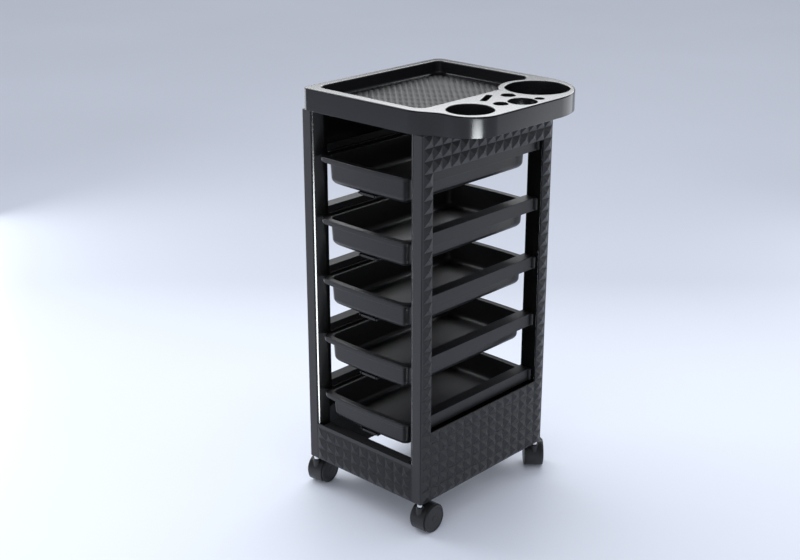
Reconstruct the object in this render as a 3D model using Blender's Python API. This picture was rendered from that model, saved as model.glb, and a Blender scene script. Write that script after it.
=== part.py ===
"""Rolling salon trolley: two panelled side frames, five sliding drawers, a moulded top tray with
cup wells and tool holes, and four hooded twin-wheel swivel casters.

Units are metres, +Z is up, the front faces -Y. The pieces are laid out from the middle of the
cabinet's front plane, on the floor. Their parent, the "trolley" empty, then shifts them so that
the world origin is the centre of the whole object's box on the floor.
"""

from math import asin, atan2, cos, pi, radians, sin, tan

import bmesh
import bpy
from mathutils import Matrix, Vector

# ---------------------------------------------------------------- driving sizes
GAP = 0.0003            # clearance between neighbouring solids
WALL = 0.003            # moulded wall thickness of the panels, frames and top tray

CABINET_W = 0.3284      # over the plain outer faces of the two side covers
CABINET_D = 0.4032      # front plane to back plane
FRAME_H = 0.780         # height of a side frame
TRAY_H = 0.046          # top of the side frames to the top of the tray rim

# side covers and their pyramid relief
RELIEF_H = 0.0035       # height of a pyramid
COVER_FLANGE = 0.024    # width of the covers' front and back flanges
COVER_EDGE_R = 0.0032   # rounding of the covers' outer vertical edges
SIDE_COLUMNS = 15
SIDE_BORDER = 0.004     # plain border beside the pyramids
SIDE_END_BORDER = 0.0015
SILL_Z = 0.156          # above the frame's underside: bottom edge of the side window
HEADER_Z = 0.704        # above the frame's underside: top edge of the side window
SILL_ROWS = 6
WINDOW_ROWS = 21
HEADER_ROWS = 3

# inner frames
POST_T = 0.0402         # outer face of a cover to the inner face of the frame beside it
POST_LEAD = 0.0115      # how far a post's inner face leans away at its front and back edges
POST_LEAD_DEPTH = 0.026 # depth over which it leans
INNER_EDGE_R = 0.006    # rounding of the inner frames' front and back inner edges
SOCKET_BLOCK_H = 0.045  # solid blocks in the bottom corners that hold the caster stems
SOCKET_DEPTH = 0.038

# runner rails
DRAWER_COUNT = 5
TOP_RAIL_Z = 0.708      # above the frame's underside: top of the highest rail
RAIL_PITCH = 0.1307
RAIL_H = 0.028
RAIL_RECESS = 0.0132    # outer face of a rail behind the plain face of the cover
LEDGE_REACH = 0.0105    # how far the carrying ledge stands in from the inner frame's face
RIB_REACH = 0.007
RIB_DROP = 0.0125       # rail top to the upper face of the anti-tip rib

# drawers
DRAWER_DROP = 0.0185    # rail top to drawer rim
DRAWER_CLEARANCE = 0.0015
DRAWER_FRONT = 0.0035   # rim corner behind the front plane
DRAWER_BOW = 0.004      # how far the rim's middle bows out past its corners
DRAWER_RIM_R = 0.014
DRAWER_CORNER_SHRINK = 0.1  # how much a corner's radius drops for each unit of inset
DRAWER_LIP_H = 0.011
DRAWER_FLANGE = 0.012
DRAWER_DEPTH = 0.059    # rim to underside
DRAWER_WALL = 0.0025
DRAWER_DRAFT = 0.003
DRAWER_EDGE_R = 0.014
TAB_W = 0.040
TAB_DROP = 0.004
TAB_INSET = 0.0035      # front of the pull tab behind the foot of the front wall
TAB_T = 0.014

# base panels
BASE_PANEL_H = 0.085
BASE_PANEL_FLANGE = 0.025
BASE_COLUMNS = 11
BASE_ROWS = 3
BASE_SIDE_BORDER = 0.0024
BASE_TOP_BORDER = 0.0085
BASE_BOTTOM_BORDER = 0.001

# top tray, in plan from the middle of the cabinet's front plane
TRAY_LEFT = -0.1575
TRAY_RIGHT = 0.278
TRAY_FRONT = -0.005
TRAY_BACK_OVERHANG = 0.001
TRAY_EDGE_R = 0.003
TRAY_FRONT_CORNER_R = 0.014
TRAY_BACK_CORNER_R = 0.022
SHOULDER_R = 0.080
SHOULDER_END_R = 0.060
LOBE_FRONT = 0.018      # front edge of the cup lobe
LOBE_R = 0.062
BACK_LOBE_R = 0.130
SHOULDER_X = 0.1444     # where the front edge starts towards the lobe
SHOULDER_END_X = 0.1925
RECESS_DEPTH = 0.027
RECESS_LEFT = -0.1375
RECESS_RIGHT = 0.1425
RECESS_FRONT = 0.0185
RECESS_BACK = 0.382
RECESS_FRONT_R = 0.022
RECESS_BACK_R = 0.014
WELL_LAND = 0.0145      # plain land between the recess and the large cup well
WELL_LAND_END = 0.54    # how far round the well the land's arc reaches, as a share of its radius
RECESS_CHAMFER = 0.6    # slope of the recess's cut corner behind the large cup well
CUP_FLOOR = 0.003
LARGE_CUP = (0.1885, 0.3120, 0.0645)
MEDIUM_CUP = (0.2125, 0.0780, 0.0455)
TOOL_HOLES = {          # centre x, centre y, radius
    "dryer": (0.2418, 0.1970, 0.0285),
    "brush": (0.1885, 0.2195, 0.0145),
    "comb": (0.2240, 0.1535, 0.0145),
    "pin": (0.2512, 0.2376, 0.0095),
}
HOLE_WALL = 0.002
HOLE_WALL_H = 0.030     # how far the sleeves under the tool holes reach down from the rim
SLOT_CENTRE = (0.1730, 0.1715)
SLOT_L = 0.055
SLOT_W = 0.013
SLOT_ANGLE = radians(116)
REST_RIB_INSET = 0.012  # rib that rests on the right-hand frame, in from its outer face

# casters
WHEEL_R = 0.030
CASTER_HEADROOM = 0.010 # top of the wheels to the underside of the frames
BOSS_HEADROOM = 0.001   # top of the wheels to the top of the hood's boss
BOSS_FOOT = 0.012       # wheel axis up to the foot of the boss
WHEEL_W = 0.0115
CASTER_W = 0.044        # over the outer faces of the two wheels
TRAIL = 0.0215          # swivel axis to wheel axis
STEM_INSET = 0.010      # swivel axis in from the cabinet's outer faces
STEM_R = 0.004
COLLAR_R = 0.0065
HOOD_W = 0.036
HOOD_T = 0.0018
HOOD_CLEARANCE = 0.0008
HOOD_FROM = radians(-40)
HOOD_TO = radians(170)
WEB_T = 0.006
WEB_TRIM = 0.06         # how much of the hood's sweep the web leaves free at each end, in radians
HUB_R = 0.007
BOSS_R = 0.0085
STEM_BORE_DEPTH = 0.014
STEM_END_GAP = 0.001    # below the stem, in the boss
STEM_TOP_GAP = 0.002    # above the stem, in the frame's socket
AXLE_R = 0.0025
AXLE_INSET = 0.0035     # end of an axle behind the wheel's outer face
WHEEL_BEVEL = 0.0012
DISC_INSET = 0.0045     # radius of a wheel's outer disc less than the wheel's
BORE_END = 0.003        # wall that closes a wheel's axle bore
CASTER_TURN = {"front_left": 8, "front_right": 2, "rear_left": 24, "rear_right": 43}  # degrees

# ---------------------------------------------------------------- derived sizes
HALF_W = CABINET_W / 2
INNER_X = HALF_W - POST_T                     # inner face of the inner frames
CASTER_H = 2 * WHEEL_R + CASTER_HEADROOM      # floor to the underside of the frames
BOSS_TOP = 2 * WHEEL_R + BOSS_HEADROOM
FLANGE_X = HALF_W - COVER_FLANGE              # inner edge of the covers' flanges
COVER_BACK_X = HALF_W - WALL                  # back of a cover's sheet
COLUMN = (CABINET_D - 2 * SIDE_BORDER) / SIDE_COLUMNS
JAMB_FRONT = SIDE_BORDER + COLUMN             # the window's front edge
JAMB_BACK = CABINET_D - JAMB_FRONT
RAIL_TOPS = [CASTER_H + TOP_RAIL_Z - i * RAIL_PITCH for i in range(DRAWER_COUNT)]
LEDGE_TOP = DRAWER_DROP + DRAWER_LIP_H + GAP  # below a rail's top
INNER_SILL_Z = RAIL_TOPS[-1] - LEDGE_TOP - WALL - GAP
INNER_HEADER_Z = RAIL_TOPS[0] + GAP
FRAME_TOP = CASTER_H + FRAME_H
TRAY_TOP = FRAME_TOP + TRAY_H
TRAY_BACK = CABINET_D + TRAY_BACK_OVERHANG
HOOD_R = WHEEL_R + HOOD_CLEARANCE + HOOD_T
SIDES = {"left": -1, "right": 1}


# ---------------------------------------------------------------- materials
def plastic(name, shade, roughness, metallic=0.0):
    """A Principled material of one plain grey shade."""
    material = bpy.data.materials.new(name)
    material.use_nodes = True
    shader = material.node_tree.nodes["Principled BSDF"]
    shader.inputs["Base Color"].default_value = (shade, shade, shade * 1.03, 1.0)
    shader.inputs["Roughness"].default_value = roughness
    shader.inputs["Metallic"].default_value = metallic
    return material


def make_materials():
    """All the finishes that the pieces wear, by name."""
    return {
        "satin": plastic("satin_black", 0.035, 0.50),
        "gloss": plastic("gloss_black", 0.012, 0.18),
        "drawer": plastic("drawer_black", 0.028, 0.38),
        "caster": plastic("caster_black", 0.022, 0.42),
        "chrome": plastic("chrome", 0.75, 0.12, metallic=1.0),
    }


# ---------------------------------------------------------------- plane outlines
def rounded(corners, steps=4):
    """Counter-clockwise outline through corners (x, y, radius), each turned by an arc."""
    points = []
    for i, (x, y, radius) in enumerate(corners):
        here = Vector((x, y))
        before = (Vector(corners[i - 1][:2]) - here).normalized()
        after = (Vector(corners[(i + 1) % len(corners)][:2]) - here).normalized()
        if radius == 0:
            points.append(here)
            continue
        half = before.angle(after) / 2
        centre = here + (before + after).normalized() * radius / sin(half)
        start = here + before * radius / tan(half) - centre
        end = here + after * radius / tan(half) - centre
        turn = atan2(start.cross(end), start.dot(end))
        points += [centre + Matrix.Rotation(turn * k / steps, 2) @ start for k in range(steps + 1)]
    return points


def offset(outline, distance):
    """The outline moved inwards by distance, or outwards where it is negative."""
    moved = []
    for i, point in enumerate(outline):
        before = (point - outline[i - 1]).normalized()
        after = (outline[(i + 1) % len(outline)] - point).normalized()
        inward = (before.orthogonal() + after.orthogonal()).normalized()
        moved.append(point + inward * distance / max(inward.dot(after.orthogonal()), 0.2))
    return moved


def rectangle(x0, y0, x1, y1):
    """Counter-clockwise outline of a rectangle."""
    return [Vector(p) for p in ((x0, y0), (x1, y0), (x1, y1), (x0, y1))]


# ---------------------------------------------------------------- solids
def loft(rings):
    """(vertices, faces) of the closed solid through rings of equally many points, capped at both ends."""
    count = len(rings[0])
    vertices = [point for ring in rings for point in ring]
    faces = [list(range(count))[::-1], [len(vertices) - count + k for k in range(count)]]
    for level in range(len(rings) - 1):
        for k in range(count):
            low, next_low = level * count + k, level * count + (k + 1) % count
            faces.append([low, next_low, next_low + count, low + count])
    return vertices, faces


def prism(outline, low, high, axis="z"):
    """A plane outline extruded from low to high along an axis; the outline lies in the other two."""
    place = {
        "z": lambda p, h: (p.x, p.y, h),
        "x": lambda p, h: (h, p.x, p.y),
        "y": lambda p, h: (p.x, h, p.y),
    }[axis]
    return loft([[place(p, h) for p in outline] for h in (low, high)])


def box(x0, y0, z0, x1, y1, z1):
    """An axis-aligned block between two corners."""
    return prism(rectangle(x0, y0, x1, y1), z0, z1)


def lathe(profile, steps, axis="z", centre=(0.0, 0.0)):
    """A profile of (radius, height) turned about an axis; its two ends are capped."""
    def place(radius, height, angle):
        u, v = centre[0] + radius * cos(angle), centre[1] + radius * sin(angle)
        return (u, v, height) if axis == "z" else (height, u, v)
    angles = [2 * pi * (k + 0.5) / steps for k in range(steps)]
    return loft([[place(r, h, a) for a in angles] for r, h in profile])


class Workshop:
    """Turns solids into named objects under one parent."""

    def __init__(self, root, materials):
        self.root = root
        self.materials = materials

    def mesh(self, name, *solids):
        """One mesh of closed solids, each with its faces pointing out."""
        build = bmesh.new()
        for vertices, faces in solids:
            made = [build.verts.new(v) for v in vertices]
            for face in faces:
                build.faces.new([made[k] for k in face])
        bmesh.ops.recalc_face_normals(build, faces=build.faces)
        mesh = bpy.data.meshes.new(name)
        build.to_mesh(mesh)
        build.free()
        return mesh

    def place(self, name, mesh, finish, location=(0, 0, 0), parent=None, turn=0.0):
        """A node of the model that shows the mesh in a finish."""
        piece = bpy.data.objects.new(name, mesh)
        bpy.context.scene.collection.objects.link(piece)
        piece.parent = parent or self.root
        piece.location = location
        piece.rotation_euler.z = turn
        if not mesh.materials:
            mesh.materials.append(self.materials[finish])
        return piece

    def tool(self, name, *solids):
        """A hidden helper for a Boolean."""
        helper = self.place(name, self.mesh(name, *solids), "satin")
        helper.hide_render = True
        helper.display_type = "WIRE"
        return helper

    def combine(self, piece, helper, operation):
        """Adds a Boolean with the helper to the piece."""
        modifier = piece.modifiers.new(helper.name, "BOOLEAN")
        modifier.operation = operation
        modifier.object = helper
        modifier.solver = "EXACT"

    def shared(self, name, base, steps):
        """The mesh left by a chain of Booleans on a base solid, ready to be shared by copies."""
        piece = self.place(name, self.mesh(name, base), "satin")
        helpers = []
        for number, (operation, solids) in enumerate(steps):
            helpers.append(self.tool(f"{name}_tool_{number}", *solids))
            self.combine(piece, helpers[-1], operation)
        bpy.context.view_layer.update()
        graph = bpy.context.evaluated_depsgraph_get()
        mesh = bpy.data.meshes.new_from_object(piece.evaluated_get(graph))
        mesh.name = name
        mesh.materials.clear()
        for helper in [piece, *helpers]:
            bpy.data.objects.remove(helper)
        return mesh

    def empty(self, name, location, parent=None, turn=0.0):
        """A guide that carries pieces and marks a joint axis."""
        guide = bpy.data.objects.new(name, None)
        bpy.context.scene.collection.objects.link(guide)
        guide.parent = parent or self.root
        guide.location = location
        guide.rotation_euler.z = turn
        return guide


def smooth(mesh, angle=radians(35)):
    """Shades a mesh smooth except across its sharp edges."""
    mesh.shade_smooth()
    mesh.set_sharp_from_angle(angle=angle)
    return mesh


# ---------------------------------------------------------------- pyramid relief panels
def relief_sheet(name, columns, rows, to_space, hole=None):
    """A sheet of WALL thickness whose grid cells rise to low pyramids.

    columns and rows are the grid lines, whose first and last intervals are a plain border;
    to_space turns (column, row, height) into a point; hole is the range of cells
    (first column line, last column line, first row line, last row line) left open.
    """
    build = bmesh.new()
    u_lines, v_lines = columns[1:-1], rows[1:-1]
    last_u, last_v = len(u_lines) - 1, len(v_lines) - 1
    grid = {}

    def node(i, j):
        if (i, j) not in grid:
            grid[i, j] = build.verts.new((u_lines[i], v_lines[j], 0))
        return grid[i, j]

    def in_hole(i, j):
        return hole is not None and hole[0] <= i < hole[1] and hole[2] <= j < hole[3]

    def corners(u0, u1, v0, v1, height):
        return [build.verts.new((u, v, height)) for u, v in ((u0, v0), (u1, v0), (u1, v1), (u0, v1))]

    def chains(i0, i1, j0, j1):
        """The grid points along the four edges of a block of cells, counter-clockwise."""
        return [
            [node(i, j0) for i in range(i0, i1 + 1)],
            [node(i1, j) for j in range(j0, j1 + 1)],
            [node(i, j1) for i in range(i1, i0 - 1, -1)],
            [node(i0, j) for j in range(j1, j0 - 1, -1)],
        ]

    for i in range(last_u):
        for j in range(last_v):
            if in_hole(i, j):
                continue
            u, v = (u_lines[i] + u_lines[i + 1]) / 2, (v_lines[j] + v_lines[j + 1]) / 2
            apex = build.verts.new((u, v, RELIEF_H))
            square = [node(i, j), node(i + 1, j), node(i + 1, j + 1), node(i, j + 1)]
            for k in range(4):
                build.faces.new([square[k], square[(k + 1) % 4], apex])
    front = corners(columns[0], columns[-1], rows[0], rows[-1], 0)
    back = corners(columns[0], columns[-1], rows[0], rows[-1], -WALL)
    for k, chain in enumerate(chains(0, last_u, 0, last_v)):
        following = (k + 1) % 4
        build.faces.new([front[k], front[following], *reversed(chain)])
        build.faces.new([front[k], back[k], back[following], front[following]])
    if hole is None:
        build.faces.new(back)
    else:
        i0, i1, j0, j1 = hole
        rim = corners(u_lines[i0], u_lines[i1], v_lines[j0], v_lines[j1], -WALL)
        for k, chain in enumerate(chains(i0, i1, j0, j1)):
            following = (k + 1) % 4
            build.faces.new([*chain, rim[following], rim[k]])
            build.faces.new([back[k], back[following], rim[following], rim[k]])
    for vertex in build.verts:
        vertex.co = to_space(*vertex.co)
    bmesh.ops.recalc_face_normals(build, faces=build.faces)
    mesh = bpy.data.meshes.new(name)
    build.to_mesh(mesh)
    build.free()
    return mesh


def grid_lines(start, *runs):
    """Grid lines from start through runs of (number of cells, end)."""
    lines = [start]
    for count, end in runs:
        first = lines[-1]
        lines += [first + (end - first) * (k + 1) / count for k in range(count)]
    return lines


def make_side_cover(shop, side):
    """Outer skin of one side frame: pyramid relief round a window, with front and back flanges."""
    sign = SIDES[side]
    columns = grid_lines(0, (1, SIDE_BORDER), (SIDE_COLUMNS, CABINET_D - SIDE_BORDER), (1, CABINET_D))
    rows = grid_lines(
        0, (1, SIDE_END_BORDER), (SILL_ROWS, SILL_Z), (WINDOW_ROWS, HEADER_Z),
        (HEADER_ROWS, FRAME_H - SIDE_END_BORDER), (1, FRAME_H))
    mesh = relief_sheet(
        f"side_cover_{side}", columns, rows, lambda u, v, h: (sign * (HALF_W + h), u, v + CASTER_H),
        hole=(1, SIDE_COLUMNS - 1, SILL_ROWS, SILL_ROWS + WINDOW_ROWS))
    cover = shop.place(f"side_cover_{side}", mesh, "satin")
    flanges = []
    for y0, y1 in ((0, WALL), (CABINET_D - WALL, CABINET_D)):
        x0, x1 = sorted((sign * FLANGE_X, sign * HALF_W))
        flanges.append(box(x0, y0, CASTER_H, x1, y1, FRAME_TOP))
    shop.combine(cover, shop.tool(f"cover_flanges_{side}", *flanges), "UNION")
    edge = COVER_EDGE_R
    trims = []
    for y, inward in ((0, 1), (CABINET_D, -1)):
        corner = Vector((sign * HALF_W, y))
        centre = corner + Vector((-sign * edge, inward * edge))
        start = atan2(0, sign)
        end = atan2(-inward, 0)
        sweep = (end - start + pi) % (2 * pi) - pi
        arc = [centre + edge * Vector((cos(start + sweep * k / 3), sin(start + sweep * k / 3)))
               for k in range(4)]
        beyond = corner + Vector((sign, -inward)) * WALL
        outline = [Vector((beyond.x, arc[0].y)), *arc, Vector((arc[-1].x, beyond.y)), beyond]
        trims.append(prism(outline, CASTER_H - WALL, FRAME_TOP + WALL))
    shop.combine(cover, shop.tool(f"cover_edges_{side}", *trims), "DIFFERENCE")
    return cover


# ---------------------------------------------------------------- inner frames and rails
def make_inner_frame(shop, side):
    """Hollow frame behind a cover: two posts, header and sill beams, and the caster sockets."""
    sign = SIDES[side]
    step_x = FLANGE_X - GAP
    back_x = COVER_BACK_X - GAP
    step_y = WALL + GAP
    depth = CABINET_D
    lead_x = INNER_X + POST_LEAD
    outline = rounded([
        (INNER_X, POST_LEAD_DEPTH, 0), (lead_x, 0, INNER_EDGE_R), (step_x, 0, 0),
        (step_x, step_y, 0), (back_x, step_y, 0), (back_x, depth - step_y, 0),
        (step_x, depth - step_y, 0), (step_x, depth, 0), (lead_x, depth, INNER_EDGE_R),
        (INNER_X, depth - POST_LEAD_DEPTH, 0)])
    vertices, faces = prism(outline, CASTER_H, FRAME_TOP)
    frame = shop.place(
        f"inner_frame_{side}",
        smooth(shop.mesh(f"inner_frame_{side}", ([(sign * x, y, z) for x, y, z in vertices], faces))),
        "gloss")

    def across(x0, y0, z0, x1, y1, z1):
        low, high = sorted((sign * x0, sign * x1))
        return box(low, y0, z0, high, y1, z1)

    beyond = HALF_W + WALL
    window = across(INNER_X - WALL, JAMB_FRONT, INNER_SILL_Z, beyond, JAMB_BACK, INNER_HEADER_Z)
    shop.combine(frame, shop.tool(f"frame_window_{side}", window), "DIFFERENCE")
    hollow_x = INNER_X + WALL
    front_y = step_y + WALL
    socket_top = CASTER_H + SOCKET_BLOCK_H
    hollows = [
        across(hollow_x, front_y, socket_top, beyond, JAMB_FRONT - WALL, FRAME_TOP - WALL),
        across(hollow_x, JAMB_BACK + WALL, socket_top, beyond, depth - front_y, FRAME_TOP - WALL),
        across(hollow_x, JAMB_FRONT, CASTER_H + WALL, beyond, JAMB_BACK, INNER_SILL_Z - WALL),
        across(hollow_x, JAMB_FRONT, INNER_HEADER_Z + WALL, beyond, JAMB_BACK, FRAME_TOP - WALL),
    ]
    shop.combine(frame, shop.tool(f"frame_hollows_{side}", *hollows), "DIFFERENCE")
    rebate_top = CASTER_H + BASE_PANEL_H + GAP
    rebates = [
        across(INNER_X - WALL, -WALL, CASTER_H - WALL, beyond, step_y, rebate_top),
        across(INNER_X - WALL, depth - step_y, CASTER_H - WALL, beyond, depth + WALL, rebate_top),
    ]
    shop.combine(frame, shop.tool(f"frame_rebates_{side}", *rebates), "DIFFERENCE")
    sockets = []
    for y in (STEM_INSET, depth - STEM_INSET):
        profile = [(STEM_R + GAP, CASTER_H - WALL), (STEM_R + GAP, CASTER_H + SOCKET_DEPTH)]
        sockets.append(lathe(profile, 12, centre=(sign * (HALF_W - STEM_INSET), y)))
    shop.combine(frame, shop.tool(f"frame_sockets_{side}", *sockets), "DIFFERENCE")
    return frame


def make_runner_rails(shop, side):
    """The rails that cross a side window, each with its carrying ledge and anti-tip rib."""
    sign = SIDES[side]
    outer = HALF_W - RAIL_RECESS
    ledge = INNER_X - LEDGE_REACH
    rib = INNER_X - RIB_REACH
    inner_wall = INNER_X + WALL
    section = [
        (outer, 0), (INNER_X, 0), (INNER_X, -RIB_DROP), (rib, -RIB_DROP),
        (rib, -RIB_DROP - WALL), (INNER_X, -RIB_DROP - WALL), (INNER_X, -LEDGE_TOP),
        (ledge, -LEDGE_TOP), (ledge, -LEDGE_TOP - WALL), (inner_wall, -LEDGE_TOP - WALL),
        (inner_wall, -WALL), (outer - WALL, -WALL), (outer - WALL, -RAIL_H), (outer, -RAIL_H)]
    outline = [Vector((sign * x, z)) for x, z in section]
    mesh = shop.mesh(f"runner_rail_{side}", prism(outline, JAMB_FRONT + GAP, JAMB_BACK - GAP, "y"))
    for number, top in enumerate(RAIL_TOPS, 1):
        shop.place(f"runner_rail_{side}_{number}", mesh, "gloss", location=(0, 0, top))


# ---------------------------------------------------------------- drawers
def drawer_outline(inset):
    """The drawer's plan, bowed at the front and back, moved in by inset from the rim."""
    half = INNER_X - DRAWER_CLEARANCE - inset
    front = DRAWER_FRONT + inset
    back = CABINET_D - DRAWER_FRONT - inset
    radius = max(DRAWER_RIM_R - DRAWER_CORNER_SHRINK * inset, DRAWER_RIM_R / 3)
    corners = [(-half, front, radius), (-half / 2, front, 0), (0, front, 0), (half / 2, front, 0),
               (half, front, radius), (half, back, radius), (half / 2, back, 0), (0, back, 0),
               (-half / 2, back, 0), (-half, back, radius)]
    middle = CABINET_D / 2
    outline = []
    for point in rounded(corners, steps=3):
        bow = DRAWER_BOW * (1 - (point.x / half) ** 2)
        outline.append(Vector((point.x, point.y + (bow if point.y > middle else -bow))))
    return outline


def make_drawer_mesh(shop):
    """One drawer: a tapered tub hanging from a flat rim with a down-turned lip and a pull tab."""
    wall = DRAWER_WALL
    edge = DRAWER_EDGE_R
    body = DRAWER_FLANGE
    foot = body + DRAWER_DRAFT
    floor_edge = max(edge - wall, wall)
    levels = [
        (foot + edge, -DRAWER_DEPTH),
        (foot + edge * (1 - sin(pi / 4)), -DRAWER_DEPTH + edge * (1 - cos(pi / 4))),
        (foot, -DRAWER_DEPTH + edge),
        (body, -wall),
        (wall, -wall),
        (wall, -DRAWER_LIP_H),
        (0, -DRAWER_LIP_H),
        (0, -wall / 2),
        (wall / 2, 0),
        (body + wall, 0),
        (foot + wall, -DRAWER_DEPTH + wall + floor_edge),
        (foot + wall + floor_edge, -DRAWER_DEPTH + wall),
    ]
    rings = [[(p.x, p.y, z) for p in drawer_outline(inset)] for inset, z in levels]
    tab_front = DRAWER_FRONT + foot - DRAWER_BOW + TAB_INSET
    tab = box(
        -TAB_W / 2, tab_front, -DRAWER_DEPTH - TAB_DROP,
        TAB_W / 2, tab_front + TAB_T, -DRAWER_DEPTH + wall / 2)
    mesh = shop.shared("drawer", loft(rings), [("UNION", [tab])])
    return smooth(mesh)


def make_drawers(shop):
    """The drawers, each hanging below the tops of its pair of rails."""
    mesh = make_drawer_mesh(shop)
    for number, top in enumerate(RAIL_TOPS, 1):
        shop.place(f"drawer_{number}", mesh, "drawer", location=(0, 0, top - DRAWER_DROP))


# ---------------------------------------------------------------- base panels
def make_base_panel(shop, end):
    """Low relief panel across the front or the back, with a stiffening flange along its top."""
    facing = {"front": -1, "rear": 1}[end]
    plane = {"front": 0, "rear": CABINET_D}[end]
    half = FLANGE_X - GAP
    columns = grid_lines(-half, (1, -half + BASE_SIDE_BORDER), (BASE_COLUMNS, half - BASE_SIDE_BORDER), (1, half))
    rows = grid_lines(
        0, (1, BASE_BOTTOM_BORDER), (BASE_ROWS, BASE_PANEL_H - BASE_TOP_BORDER), (1, BASE_PANEL_H))
    mesh = relief_sheet(
        f"base_panel_{end}", columns, rows, lambda u, v, h: (u, plane + facing * h, v + CASTER_H))
    panel = shop.place(f"base_panel_{end}", mesh, "satin")
    y0, y1 = sorted((plane - facing * WALL / 2, plane - facing * BASE_PANEL_FLANGE))
    top = CASTER_H + BASE_PANEL_H
    reach = INNER_X - GAP
    flange = box(-reach, y0, top - WALL, reach, y1, top)
    shop.combine(panel, shop.tool(f"panel_flange_{end}", flange), "UNION")
    return panel


# ---------------------------------------------------------------- top tray
def tray_outline():
    """Plan of the top tray: a square cabinet top that swells to a lobe over the right-hand side."""
    return rounded([
        (TRAY_LEFT, TRAY_FRONT, TRAY_FRONT_CORNER_R),
        (SHOULDER_X, TRAY_FRONT, SHOULDER_R),
        (SHOULDER_END_X, LOBE_FRONT, SHOULDER_END_R),
        (TRAY_RIGHT, LOBE_FRONT, LOBE_R),
        (TRAY_RIGHT, TRAY_BACK, BACK_LOBE_R),
        (TRAY_LEFT, TRAY_BACK, TRAY_BACK_CORNER_R),
    ], steps=6)


def recess_outline():
    """Plan of the tool recess, cut back along an arc round the large cup well."""
    x, y, radius = LARGE_CUP
    land = radius + WELL_LAND
    corner = y - (land ** 2 - (x - RECESS_RIGHT) ** 2) ** 0.5
    start = atan2(corner - y, RECESS_RIGHT - x)
    end = pi - asin(WELL_LAND_END)
    sweep = end - (start + 2 * pi)
    bite = [(x + land * cos(start + sweep * k / 6), y + land * sin(start + sweep * k / 6), 0)
            for k in range(7)]
    shoulder = bite[-1][0] - (RECESS_BACK - bite[-1][1]) * RECESS_CHAMFER
    return rounded([
        (RECESS_LEFT, RECESS_FRONT, RECESS_FRONT_R),
        (RECESS_RIGHT, RECESS_FRONT, RECESS_FRONT_R),
        *bite,
        (shoulder, RECESS_BACK, RECESS_BACK_R),
        (RECESS_LEFT, RECESS_BACK, RECESS_BACK_R),
    ], steps=4)


def slot_outline(grow=0.0):
    """Plan of the comb slot."""
    half_l, half_w = SLOT_L / 2 + grow, SLOT_W / 2 + grow
    radius = SLOT_W / 4
    flat = rounded([(-half_l, -half_w, radius), (half_l, -half_w, radius),
                    (half_l, half_w, radius), (-half_l, half_w, radius)], steps=2)
    turn = Matrix.Rotation(SLOT_ANGLE, 2)
    return [turn @ point + Vector(SLOT_CENTRE) for point in flat]


def make_top_tray(shop):
    """The moulded top: skirt and rim, tool recess, two cup wells, four tool holes and a slot."""
    outline = tray_outline()
    skirt = FRAME_TOP + GAP
    under = TRAY_TOP - WALL
    edge = TRAY_EDGE_R
    rings = [[(p.x, p.y, skirt) for p in outline]]
    for step in range(4):
        turn = pi / 2 * step / 3
        ring = offset(outline, edge * (1 - cos(turn)))
        rings.append([(p.x, p.y, TRAY_TOP - edge * (1 - sin(turn))) for p in ring])
    tray = shop.place("top_tray", smooth(shop.mesh("top_tray", loft(rings)), radians(40)), "gloss")

    recess = recess_outline()
    floor = TRAY_TOP - RECESS_DEPTH
    cups = [LARGE_CUP, MEDIUM_CUP]
    cup_floor = skirt + CUP_FLOOR
    holes = list(TOOL_HOLES.values())
    sleeve_end = TRAY_TOP - HOLE_WALL_H
    rib_x = HALF_W - REST_RIB_INSET
    over = TRAY_TOP + WALL

    inside = shop.tool("tray_inside", prism(offset(outline, WALL), skirt - WALL, under))
    blanks = [
        prism(offset(recess, -WALL), floor - WALL, over),
        *[lathe([(r + WALL, skirt), (r + WALL, over)], 28, centre=(x, y)) for x, y, r in cups],
        *[lathe([(r + HOLE_WALL, sleeve_end), (r + HOLE_WALL, over)], 16, centre=(x, y))
          for x, y, r in holes],
        prism(slot_outline(HOLE_WALL), sleeve_end, over),
        box(rib_x - WALL, TRAY_FRONT + WALL / 2, skirt, rib_x, TRAY_BACK - WALL / 2, over),
    ]
    for number, blank in enumerate(blanks):
        shop.combine(inside, shop.tool(f"tray_blank_{number}", blank), "DIFFERENCE")
    shop.combine(tray, inside, "DIFFERENCE")
    cuts = [
        prism(recess, floor, over),
        *[lathe([(r, cup_floor), (r, over)], 28, centre=(x, y)) for x, y, r in cups],
        *[lathe([(r, skirt - WALL), (r, over)], 16, centre=(x, y)) for x, y, r in holes],
        prism(slot_outline(), skirt - WALL, over),
    ]
    shop.combine(tray, shop.tool("tray_cuts", *cuts), "DIFFERENCE")
    return tray


# ---------------------------------------------------------------- casters
def hood_point(radius, angle):
    """A point (y, z) round the wheel axis; angle 0 faces the stem side, a quarter turn is up."""
    return Vector((TRAIL - radius * cos(angle), WHEEL_R + radius * sin(angle)))


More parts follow.
